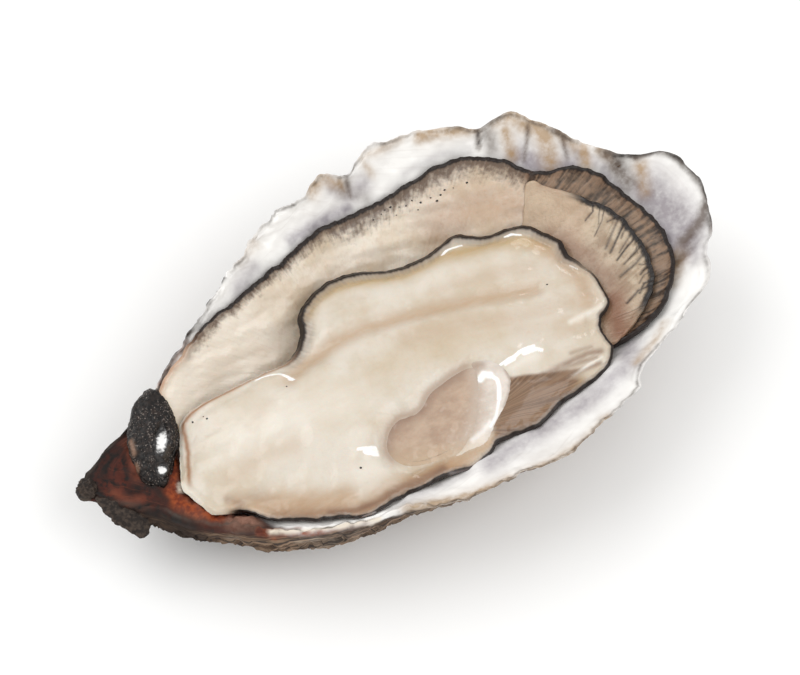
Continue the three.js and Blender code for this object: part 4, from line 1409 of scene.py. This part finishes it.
# %% Brush strokes on the body
# Tan washes, partly painted shade in the folds and along the near-left edge.
BODY_TAN_AND_SHADE = [
    (GROOVE, 1.3, 0.8),
    (LOW_FOLD, 1.7, 0.4),
    ([(8.0, 4.4), (16.0, 3.2), (22.0, 2.0)], 1.5, 0.35),
    ([(25.4, 4.6), (27.0, 1.0), (27.7, -3.4), (26.6, -6.6)], 1.7, 0.75),
    ([(-29.5, -9.4), (-24.6, -8.2), (-20.4, -8.8)], 1.8, 0.45),
    ([(-24.0, -3.6), (-20.6, -1.8)], 0.9, 0.45),
    ([(16.0, -6.4), (20.0, -8.0), (24.0, -9.4)], 2.0, 0.3),
    ([(-30.6, -13.2), (-27.9, -14.3), (-25.1, -15.7), (-22.0, -17.4), (-17.0, -19.0)], 1.6, 0.8),
    ([(-8.0, -20.0), (-2.0, -20.0), (3.0, -20.0), (8.0, -19.0)], 0.9, 0.9),
]
# Brown washes, partly painted shade along the near edge, in the pleats and above the brown
# triangle.
BODY_BROWN_AND_SHADE = [
    ([(-20.0, -20.0), (-16.6, -21.5), (-13.8, -21.8), (-10.4, -21.1), (-7.2, -20.8), (-3.0, -20.4)],
     0.7, 0.9),
    ([(-27.0, -17.0), (-24.0, -18.4), (-21.0, -19.6)], 0.9, 0.5),
    ([(11.1, -12.6), (14.0, -14.2), (16.3, -15.5), (19.4, -16.7)], 0.28, 1.0),
    (UPPER_PLEAT, 0.45, 0.6),
    (LOWER_PLEAT, 0.4, 0.7),
    ([(16.3, -14.3), (19.9, -14.1), (22.9, -14.0), (24.6, -14.3)], 0.5, 0.75),
    ([(20.5, -13.0), (23.6, -13.2)], 0.35, 0.5),
    ([(-31.6, -12.0), (-30.0, -13.2)], 0.6, 0.5),
]
BODY_GOLD = [
    ([(-12.0, 8.0), (-8.0, 11.0), (-4.0, 11.6), (4.9, 9.4), (11.6, 9.0), (18.7, 8.0), (22.9, 6.7),
      (25.6, 4.8)], 1.4, 0.95),
    ([(6.0, -19.2), (12.0, -18.8), (20.0, -17.0)], 0.5, 0.8),
    ([(-4.0, -4.0), (4.0, -4.4), (12.0, -5.6)], 2.6, 0.35),
]
# Paler washes: a broad one over the hinge end, the rest painted highlights beside the glints and
# thin light streaks.
BODY_PALE_AND_HIGHLIGHTS = [
    ([(-28.0, -4.0), (-20.0, -4.6), (-12.0, -6.4)], 4.2, 0.7),
    ([(-14.0, -16.6), (-9.4, -18.0)], 1.6, 0.5),
    ([(-12.0, -11.6), (-9.4, -13.4)], 1.8, 0.5),
    ([(0.0, 6.4), (10.0, 5.4), (19.0, 4.6)], 1.4, 0.25),
    ([(12.0, -11.6), (15.6, -11.2)], 1.0, 0.8),
    ([(-9.6, -12.8), (-10.6, -15.4)], 0.6, 0.7),
    ([(22.8, -8.5), (28.0, -7.9)], 0.4, 1.0),
    ([(19.5, -15.9), (22.0, -15.5), (24.3, -15.2)], 0.18, 1.0),
]
# Painted highlights: white glints on the wet flesh.
BODY_SHINE = [
    ([(10.8, -10.4), (12.0, -10.3), (13.1, -10.3)], 0.20, 1.0),
    ([(13.1, -10.3), (14.6, -9.9), (16.2, -9.9)], 0.32, 1.0),
    ([(15.6, -10.0), (17.0, -11.0)], 0.28, 0.9),
    ([(14.4, -10.4), (16.2, -10.5)], 0.38, 0.9),
    ([(11.4, -10.7), (12.8, -10.7)], 0.28, 0.8),
    ([(-12.7, -13.8), (-11.2, -14.3)], 0.26, 1.0),
    ([(-11.2, -14.3), (-10.4, -14.3), (-10.6, -15.3)], 0.34, 1.0),
    ([(-12.0, -14.6), (-11.0, -15.2)], 0.34, 1.0),
    ([(-11.7, -14.6), (-10.9, -14.8)], 0.40, 1.0),
    ([(-20.6, 2.7), (-19.6, 2.8), (-18.3, 2.5)], 0.20, 0.9),
    ([(-18.3, 2.5), (-17.3, 2.0), (-16.5, 1.0), (-16.0, 0.1)], 0.26, 1.0),
    ([(11.8, 9.6), (12.7, 10.1), (13.6, 10.1), (15.0, 9.9)], 0.24, 1.0),
    ([(21.3, 8.5), (22.3, 8.5), (23.4, 7.8)], 0.22, 0.9),
    ([(27.4, 0.4), (28.2, -0.8)], 0.18, 0.6),
]


def body_finish():
    body = flesh("oyster body", 0.16)
    cloud = body.noise(7.0, detail=4)
    mottle = body.noise(0.9, detail=4)
    streaks = streaks_inward(body, 0.5)
    drawn = body.noise(1.0, place=body.scaled(body.place, (0.35, 1.1, 1.0)), detail=5)
    inward = body.mark("inward")
    ink = body.mark("ink")

    def wash(name, amount=1.0):
        return (body.mark(name) * (0.72 + 0.7 * (drawn - 0.2)) * amount).held()

    veil = (1 - (inward + (streaks - 0.5) * 1.0).step(0.7, 2.0)) * ink
    line = (1 - (inward + (streaks - 0.5) * 0.35).step(0.5, 0.9)) * ink
    # Painted light in these coats: the tan and brown washes are partly painted shade; the near-edge
    # wash, the ring round the muscle and the grey lip are painted shade; the pale wash is partly
    # and the shine wholly painted highlight.
    colour = body.coats(
        body.tint(cloud.step(0.35, 0.68), "#d7cec0", "#c9bba6"),
        (mottle.step(0.5, 0.8) * 0.22, "#bda991"),
        (wash("gold"), "#b89d72"),
        (wash("tan"), "#b99c7e"),
        (wash("near_edge_shade"), "#a8845f"),
        (wash("brown_and_shade"), "#80604a"),
        (wash("pale", 0.9), "#e6dfd3"),
        (body.mark("triangle"), body.tint(streaks.step(0.35, 0.65), "#886a50", "#654831")),
        (body.mark("shade_round_muscle") * 0.75, "#a58c7a"),
        (veil * 0.66, "#84776c"),
        (line, "#1e130c"),
        (body.mark("grey_lip_shade"), "#6d6563"),
        (body.mark("trim") * 0.9, "#966640"),
        ((body.mark("shine") + (mottle - 0.5) * 0.7).step(0.2, 0.8), "#fffefb"))
    normal = body.bump(mottle * 0.5 + drawn * 0.5, 0.14)
    return body.wear(Base_Color=colour, Roughness=0.40 - 0.08 * cloud,
                     Coat_Weight=0.55 - 0.50 * line, Normal=normal)


# %% Marks of the body's edge, its brown triangle and the painted shade round the muscle
# Painted shade: a grey strip on the lower side of the near lip, under the black edge.
GREY_LIP_SHADE = [([(-2.2, -21.4), (-0.6, -21.8), (1.2, -22.2), (3.4, -21.4)], 0.35, 0.9)]
NEAR_INK_ROWS = 0.71
LIP_STARTS = (0.69, 0.71)
LIP_STOPS = (0.76, 0.80)
UNINKED = 5.0
LINE_WIDTHS = (0.45, 1.25)
INK_FADE = (-30, -23)
far_ink = soft_step(x, -19, -12) * far_part
near_ink = soft_step(x, -32.4, -30.8) * (1 - far_part)
line_width = mix(*LINE_WIDTHS, far_part) * mix(0.5, 1, soft_step(x, *INK_FADE))
inked = row < mix(NEAR_INK_ROWS, LIP_ROWS, far_part)
beyond_fold = mix(FOLD_START[1], FOLD_END[1], stretch(x, FOLD_START[0], FOLD_END[0])) - y
triangle = soft_step(beyond_fold, 0, 0.4) * soft_step(x, 4.6, 6.6) * (1 - soft_step(x, 18, 22))
trim = bell(body_inward, mix(1.1, 0.5, soft_step(y, -3.0, 1.5)), 0.32)
# Painted shade: a tan wash along the near edge, and grey on the lower side of the near skirt.
near_edge_shade = bell(body_inward, 0, 2.6) * soft_step(x, -30, -25) * soft_step(-x, -5, 3)
lower_lip_shade = near_ink * soft_step(row, *LIP_STARTS) * (1 - soft_step(row, *LIP_STOPS))
body_marks = {
    "inward": np.where(inked, body_inward / line_width, UNINKED),
    "fan": fan(angle, body_inward),
    "ink": np.maximum(far_ink, near_ink),
    "triangle": triangle * body_upper * 0.95,
    "trim": trim * soft_step(-x, 12, 18) * soft_step(y, -9, -6),
    "near_edge_shade": near_edge_shade * soft_step(-y, 12, 15),
    "grey_lip_shade": np.maximum(strokes(body_places, GREY_LIP_SHADE), lower_lip_shade * 0.9),
    # Painted shade along the upper-left side of the muscle.
    "shade_round_muscle": bell(at_muscle, 0, 0.7) * soft_step(y, -18.5, -16) * (1 - soft_step(x, 6, 8)),
}
for name, rows in (("tan", BODY_TAN_AND_SHADE), ("brown_and_shade", BODY_BROWN_AND_SHADE), ("gold", BODY_GOLD),
                   ("pale", BODY_PALE_AND_HIGHLIGHTS), ("shine", BODY_SHINE)):
    body_marks[name] = strokes(body_places, rows)
print("marks on the body:", ", ".join(body_marks))
finish_piece("plump_body", body_shape, "body", body_finish(), body_marks, "body")

# %% [markdown]
# ## Specks on the flesh
#
# A scatter of tiny black grains lies on the far lobe, just inside the fringe, and a few lie on the
# body. They are true small balls, half sunk into the flesh, and the grains on one piece are joined
# in one mesh. Each grain takes its height from the nearest vertex of what it lies on.

# %% Scatter the specks
MANTLE_SPECKS = [
    (7.7, 20.0), (8.6, 20.0), (9.8, 19.6), (10.8, 19.4), (11.9, 19.7), (12.9, 18.9), (14.5, 18.9),
    (16.0, 18.7), (16.8, 19.0), (18.1, 18.8), (7.0, 19.7), (5.6, 19.5), (15.2, 18.2), (9.0, 18.9),
    (20.2, 18.6), (12.2, 18.3),
]
BODY_SPECKS = [
    (-30.9, 1.2), (-29.3, 1.1), (-29.0, 0.5), (-17.3, -0.5), (22.8, -1.5), (-13.5, -16.3),
]
SPECK_RADII = (0.09, 0.19)
SPECK_LENGTHS = (0.9, 1.5)
SPECK_HEIGHT = 0.8


def speck_finish():
    grit = Finish("black grit", IOR=1.45, Coat_Weight=0.4)
    colour = grit.tint(grit.noise(0.2), "#0f0c0b", "#2a201c")
    return grit.wear(Base_Color=colour, Roughness=0.4)


def scatter(name, slot, spots, places, upper, material, seed):
    """Half sunk grains at spots in plan, on the upper side of a piece."""
    dice = np.random.default_rng(seed)
    top = places[upper == 1]
    shape = bmesh.new()
    for spot in spots:
        radius = dice.uniform(*SPECK_RADII)
        ball = bmesh.ops.create_icosphere(shape, subdivisions=1, radius=radius * MM)["verts"]
        nearest = np.argmin(np.hypot(top[:, 0] - spot[0], top[:, 1] - spot[1]))
        bmesh.ops.scale(shape, verts=ball, vec=(dice.uniform(*SPECK_LENGTHS), 1, SPECK_HEIGHT))
        bmesh.ops.translate(shape, verts=ball, vec=Vector((*spot, top[nearest, 2])) * MM)
    finish_piece(name, shape, slot, material)


grit = speck_finish()
scatter("mantle_specks", "mantle", MANTLE_SPECKS, mantle_places, mantle_upper, grit, 71)
scatter("body_specks", "body", BODY_SPECKS, body_places, body_upper, grit, 72)

# %% [markdown]
# ## The muscle
#
# The muscle holds the shell shut. Its cut top shows as a mauve-brown patch with a white crescent
# at its lip side, which is a different, tougher part. Both are short columns that stand on the
# shell and come up through the body, so each is a slab whose underside is the hollow of the cup.
# Together they fill the outline of the muscle, and both reach a little way under the body.

# %% The two parts of the muscle
BETWEEN_PARTS = [(6.9, -10.6), (6.2, -12.4), (5.0, -14.6), (3.4, -16.7), (1.4, -18.2)]
PATCH_EDGE = [
    *MUSCLE_EDGE[:9],
    (6.8, -8.9), (7.6, -9.6), (7.6, -10.9), (7.0, -13.2), (5.8, -15.2), (4.2, -17.2),
    (2.4, -18.6), (0.6, -19.5),
    *MUSCLE_EDGE[20:],
]
CRESCENT_EDGE = [
    (7.3, -8.8), (8.2, -8.8), *MUSCLE_EDGE[10:19], (-0.4, -19.4), *reversed(BETWEEN_PARTS),
]
INNER_SIDE = [(7.4, -8.8), *BETWEEN_PARTS, (-0.6, -19.2)]
PATCH_CENTRE = (-0.2, -14.4)
CRESCENT_CENTRE = (7.6, -14.4)
MUSCLE_OVERLAP = 0.3
MUSCLE_FOOT = 0.4
ROLL_DEPTH = 0.12
ROLL_REACH = 0.55
CRESCENT_CROWN = 0.07
patch_edge = Outline(PATCH_EDGE, PATCH_CENTRE)
crescent_edge = Outline(CRESCENT_EDGE, CRESCENT_CENTRE)
for part_edge in (patch_edge, crescent_edge):
    part_edge.radii = part_edge.radii + MUSCLE_OVERLAP
# Painted highlight: the white line along the crescent's upper and outer edge.
CRESCENT_SHINE = [
    ([(7.2, -11.2), (8.0, -10.8), (8.8, -11.2)], 0.60, 1.0),
    ([(8.8, -11.2), (9.4, -12.2), (9.2, -13.2), (8.4, -14.8)], 0.34, 1.0),
    ([(8.4, -14.8), (7.0, -16.7), (5.6, -17.7)], 0.30, 0.7),
    ([(5.8, -17.2), (4.0, -18.1), (2.4, -18.5)], 0.60, 0.5),
]
CRESCENT_SHADE = [
    ([(11.1, -11.4), (11.1, -12.8), (10.2, -14.4), (8.6, -16.0)], 0.28, 0.55),
    ([(7.2, -9.2), (8.4, -9.4)], 0.6, 0.5),
]


def muscle_finish(name, pale, dark, border_shade_colour, low_colour):
    muscle = flesh(name, 0.14, 0.65)
    grain = muscle.noise(0.8, place=muscle.scaled(muscle.place, (0.5, 1.0, 0.4)), detail=5)
    cloud = muscle.noise(3.2, detail=3)
    border = 1 - (muscle.mark("inward") + (grain - 0.5) * 0.8).step(0.1, 2.4)
    # The shaded border is painted shade on the upper-left side, and the shine is a painted
    # highlight.
    colour = muscle.coats(
        muscle.tint((cloud * 0.6 + grain * 0.4).step(0.35, 0.65), pale, dark),
        (border * muscle.mark("shaded") * 0.7, border_shade_colour),
        (muscle.mark("inner") * (grain + 0.5), "#bfad9d"),
        (muscle.mark("low") * 0.85, low_colour),
        (muscle.mark("shade"), "#8f7561"),
        ((muscle.mark("shine") + (grain - 0.5) * 0.4).step(0.15, 0.9), "#fffefc"))
    normal = muscle.bump(grain, 0.12)
    return muscle.wear(Base_Color=colour, Roughness=0.34 + 0.08 * cloud, Normal=normal)


def muscle_part(name, node, slot, outline, material, crown=0.0, borders=1.0, inner=1.0,
                shine=(), shade=()):
    """One part; crown lifts its top, borders weighs the painted shade at its edge, inner its inner
    side.
    """
    shape, angle, row = ball_blank(sectors=260, rows=90)
    places, upper = lay_slab(angle, row, outline, lambda x, y: muscle_surface(x, y) + crown,
                             lambda x, y: cup_inside(x, y) + MUSCLE_FOOT, bulge=0.0)
    x, y = places[:, 0], places[:, 1]
    inward = distance_to(places, outline.path())
    places[:, 2] -= ROLL_DEPTH * bell(inward, 0, ROLL_REACH) * upper
    put(shape, places)
    marks = {
        "inward": inward,
        "shaded": soft_step(y - 0.35 * x, -17.0, -13.0) * borders,
        "inner": inner * bell(distance_to(places, INNER_SIDE), 0, 1.1),
        "low": soft_step(-y - 0.3 * x, 16.4, 20.0),
        "shade": strokes(places, shade),
        "shine": strokes(places, shine),
    }
    finish_piece(name, shape, slot, material, marks, node)


patch_finish = muscle_finish("translucent muscle", "#bda58f", "#a88d78", "#846857", "#bda58a")
crescent_finish = muscle_finish("white muscle", "#dfd5cb", "#cbbfb3", "#d8ccc0", "#d6c6b2")
muscle_part("muscle_patch", "adductor_muscle", "muscle", patch_edge, patch_finish, inner=0.9)
muscle_part("muscle_crescent", "catch_muscle", "white_muscle", crescent_edge, crescent_finish,
            crown=CRESCENT_CROWN, borders=0.4, shine=CRESCENT_SHINE, shade=CRESCENT_SHADE)

# %% [markdown]
# ## The hinge ligament
#
# The ligament is the black springy pad that opens the shell. It's wet and knobbly. A sphere is
# flattened into a leaning oval, and relief of two sizes makes its bumps. Two smooth spots, tipped
# toward the light, hold the large wet glints, which are also painted on as white highlights, and
# the rest is duller with tiny grey dots.

# %% Shape and colour the ligament
PAD_EDGE = [
    (-33.9, 7.5), (-33.2, 6.3), (-33.0, 2.9), (-33.9, -0.4), (-35.2, -2.0), (-36.3, -3.8),
    (-37.3, -5.5), (-38.4, -6.2), (-39.6, -4.8), (-40.5, -3.7), (-40.5, -1.7), (-40.4, 0.8),
    (-39.0, 4.2), (-37.2, 6.6), (-35.1, 7.6),
]
PAD_CENTRE = (-36.9, 0.4)
PAD_EDGE_HEIGHT = 15.7
PAD_RISE = 0.15
PAD_CROWN = 1.8
PAD_THICKNESS = 1.4
GLINTS = [(-36.2, -0.6, 0.95, 2.4), (-37.7, -4.1, 0.75, 1.0)]
GLINT_ALONG = (0.44, 0.90)
GLINT_SLOPE = (0.27, 0.16)
GLINT_EDGE = (0.8, 1.4)
GLINT_CURVE = 0.05
pad_edge = Outline(PAD_EDGE, PAD_CENTRE, ragged=0.10, ragged_size=1.4, seed=111)


def pad_seat(y):
    return PAD_EDGE_HEIGHT + PAD_RISE * (y - PAD_CENTRE[1])


def pad_top(x, y):
    share = np.clip(pad_edge.share(x, y), 0, 1)
    return pad_seat(y) + PAD_CROWN * np.sqrt(1 - share ** 2)


pad_shape, angle, row = ball_blank(sectors=300, rows=150)
pad_places, pad_upper = lay_slab(
    angle, row, pad_edge, pad_top, lambda x, y: pad_seat(y) - PAD_THICKNESS, bulge=0.25)
put(pad_shape, pad_places)
knobs = rough(pad_places, (0.12, 1.7, 112, 2), (0.04, 0.7, 113))
pad_places += facing(pad_shape) * (knobs * pad_upper)[:, None]
smooth_spot = np.zeros(len(pad_places))
glint_spot = np.zeros(len(pad_places))
for glint_x, glint_y, half_width, half_length in GLINTS:
    away_x, away_y = pad_places[:, 0] - glint_x, pad_places[:, 1] - glint_y
    across = (away_x * GLINT_ALONG[1] - away_y * GLINT_ALONG[0]) / half_width
    along = (away_x * GLINT_ALONG[0] + away_y * GLINT_ALONG[1]) / half_length
    near = np.hypot(across, along)
    facet = float(pad_top(glint_x, glint_y)) - away_x * GLINT_SLOPE[0] - away_y * GLINT_SLOPE[1]
    facet -= GLINT_CURVE * near ** 2
    blend = (1 - soft_step(near, *GLINT_EDGE)) * pad_upper
    glint_spot = np.maximum(glint_spot, (GLINT_EDGE[1] - near) * pad_upper)
    pad_places[:, 2] = mix(pad_places[:, 2], facet, blend)
    smooth_spot = np.maximum(smooth_spot, blend)
put(pad_shape, pad_places)


def pad_finish():
    pad = Finish("wet ligament", IOR=1.33, Coat_Roughness=0.07)
    grain = pad.noise(0.6, detail=5)
    patches = pad.noise(1.6, detail=3)
    rugged = 1 - pad.mark("smooth_spot")
    dots = pad.noise(0.24, detail=2).step(0.56, 0.70) * patches.step(0.36, 0.56)
    # Painted highlight: white glints on the two smooth spots.
    glint = (pad.mark("glint") + (grain - 0.5) * 1.2).step(0.55, 0.95)
    colour = pad.coats(
        pad.tint(grain.step(0.42, 0.66), "#0a0706", "#261c17"),
        (dots * rugged * 0.6, "#a3968c"),
        (pad.mark("horn_spot") * 0.8, "#8f705c"),
        (glint * 0.9, "#fbfaf8"))
    normal = pad.bump(grain * rugged, 0.10)
    return pad.wear(Base_Color=colour, Roughness=0.42 + 0.2 * patches * rugged,
                    Coat_Weight=1 - 0.85 * rugged, Normal=normal)


HORN_SPOTS = [
    ([(-39.9, 1.6), (-40.2, -0.2)], 0.34, 1.0),
    ([(-40.6, -1.6), (-40.6, -2.3)], 0.3, 0.9),
]
pad_marks = {
    "horn_spot": strokes(pad_places, HORN_SPOTS),
    "smooth_spot": smooth_spot,
    "glint": glint_spot,
}
finish_piece("wet_ligament", pad_shape, "ligament", pad_finish(), pad_marks, "hinge_ligament")

# %% [markdown]
# ## Floor, light and camera
#
# The oyster lies on a plain near-white floor under broad soft light: a bright even surround and
# two large soft lamps, a window behind on the left and a fill in front on the right. A third lamp,
# small and weak, gives the wet parts small sharp glints; the largest glints are painted highlights
# in the finishes. Colours are shown as they are, without a filmic curve, so that the cream stays
# cream.

# %% The floor
FLOOR_SIZE = 3.0
floor_mesh = bpy.data.meshes.new("floor")
floor_shape = bmesh.new()
bmesh.ops.create_grid(floor_shape, x_segments=1, y_segments=1, size=FLOOR_SIZE / 2)
floor_shape.to_mesh(floor_mesh)
floor_shape.free()
floor = bpy.data.objects.new("floor", floor_mesh)
bpy.context.scene.collection.objects.link(floor)
paper = Finish("plain floor", Roughness=0.9, Specular_IOR_Level=0.1)
floor_mesh.materials.append(paper.wear(Base_Color="#fbfbfa"))

# %% The surround and the lamps
SURROUND = 0.75
AIM = Vector((0, 0, 12)) * MM
world = bpy.data.worlds.new("bright surround")
bpy.context.scene.world = world
world.use_nodes = True
background = world.node_tree.nodes["Background"].inputs
background["Color"].default_value = linear("#ffffff")
background["Strength"].default_value = SURROUND


def lamp(name, place, size, power):
    light = bpy.data.lights.new(name, "AREA")
    light.shape = "DISK"
    light.size = size
    light.energy = power
    holder = bpy.data.objects.new(name, light)
    holder.location = place
    holder.rotation_euler = (AIM - Vector(place)).to_track_quat("-Z", "Y").to_euler()
    bpy.context.scene.collection.objects.link(holder)


lamp("window", (-0.50, 0.42, 0.80), 0.90, 3.6)
lamp("fill", (0.45, -0.50, 0.80), 0.90, 3.6)
lamp("glint", (0.41, 0.45, 0.36), 0.12, 0.16)
print("surround at", SURROUND, "and lamps:", ", ".join(light.name for light in bpy.data.lights))

# %% The camera
LOOK_AT = Vector((1.4, 2.1, 12.0)) * MM
AZIMUTH = math.radians(-26)
ELEVATION = math.radians(62)
DISTANCE = 0.37825
LENS = 120
SENSOR = 36
NEAREST_SEEN = 0.01
toward_eye = Vector((math.sin(AZIMUTH) * math.cos(ELEVATION),
                     -math.cos(AZIMUTH) * math.cos(ELEVATION), math.sin(ELEVATION)))
camera_data = bpy.data.cameras.new("camera")
camera_data.lens = LENS
camera_data.sensor_width = SENSOR
camera_data.clip_start = NEAREST_SEEN
camera = bpy.data.objects.new("camera", camera_data)
camera.location = LOOK_AT + toward_eye * DISTANCE
camera.rotation_euler = (-toward_eye).to_track_quat("-Z", "Y").to_euler()
bpy.context.scene.collection.objects.link(camera)
bpy.context.scene.camera = camera
bpy.context.scene.view_settings.view_transform = "Standard"
print("camera at", [round(value, 3) for value in camera.location], "metres")
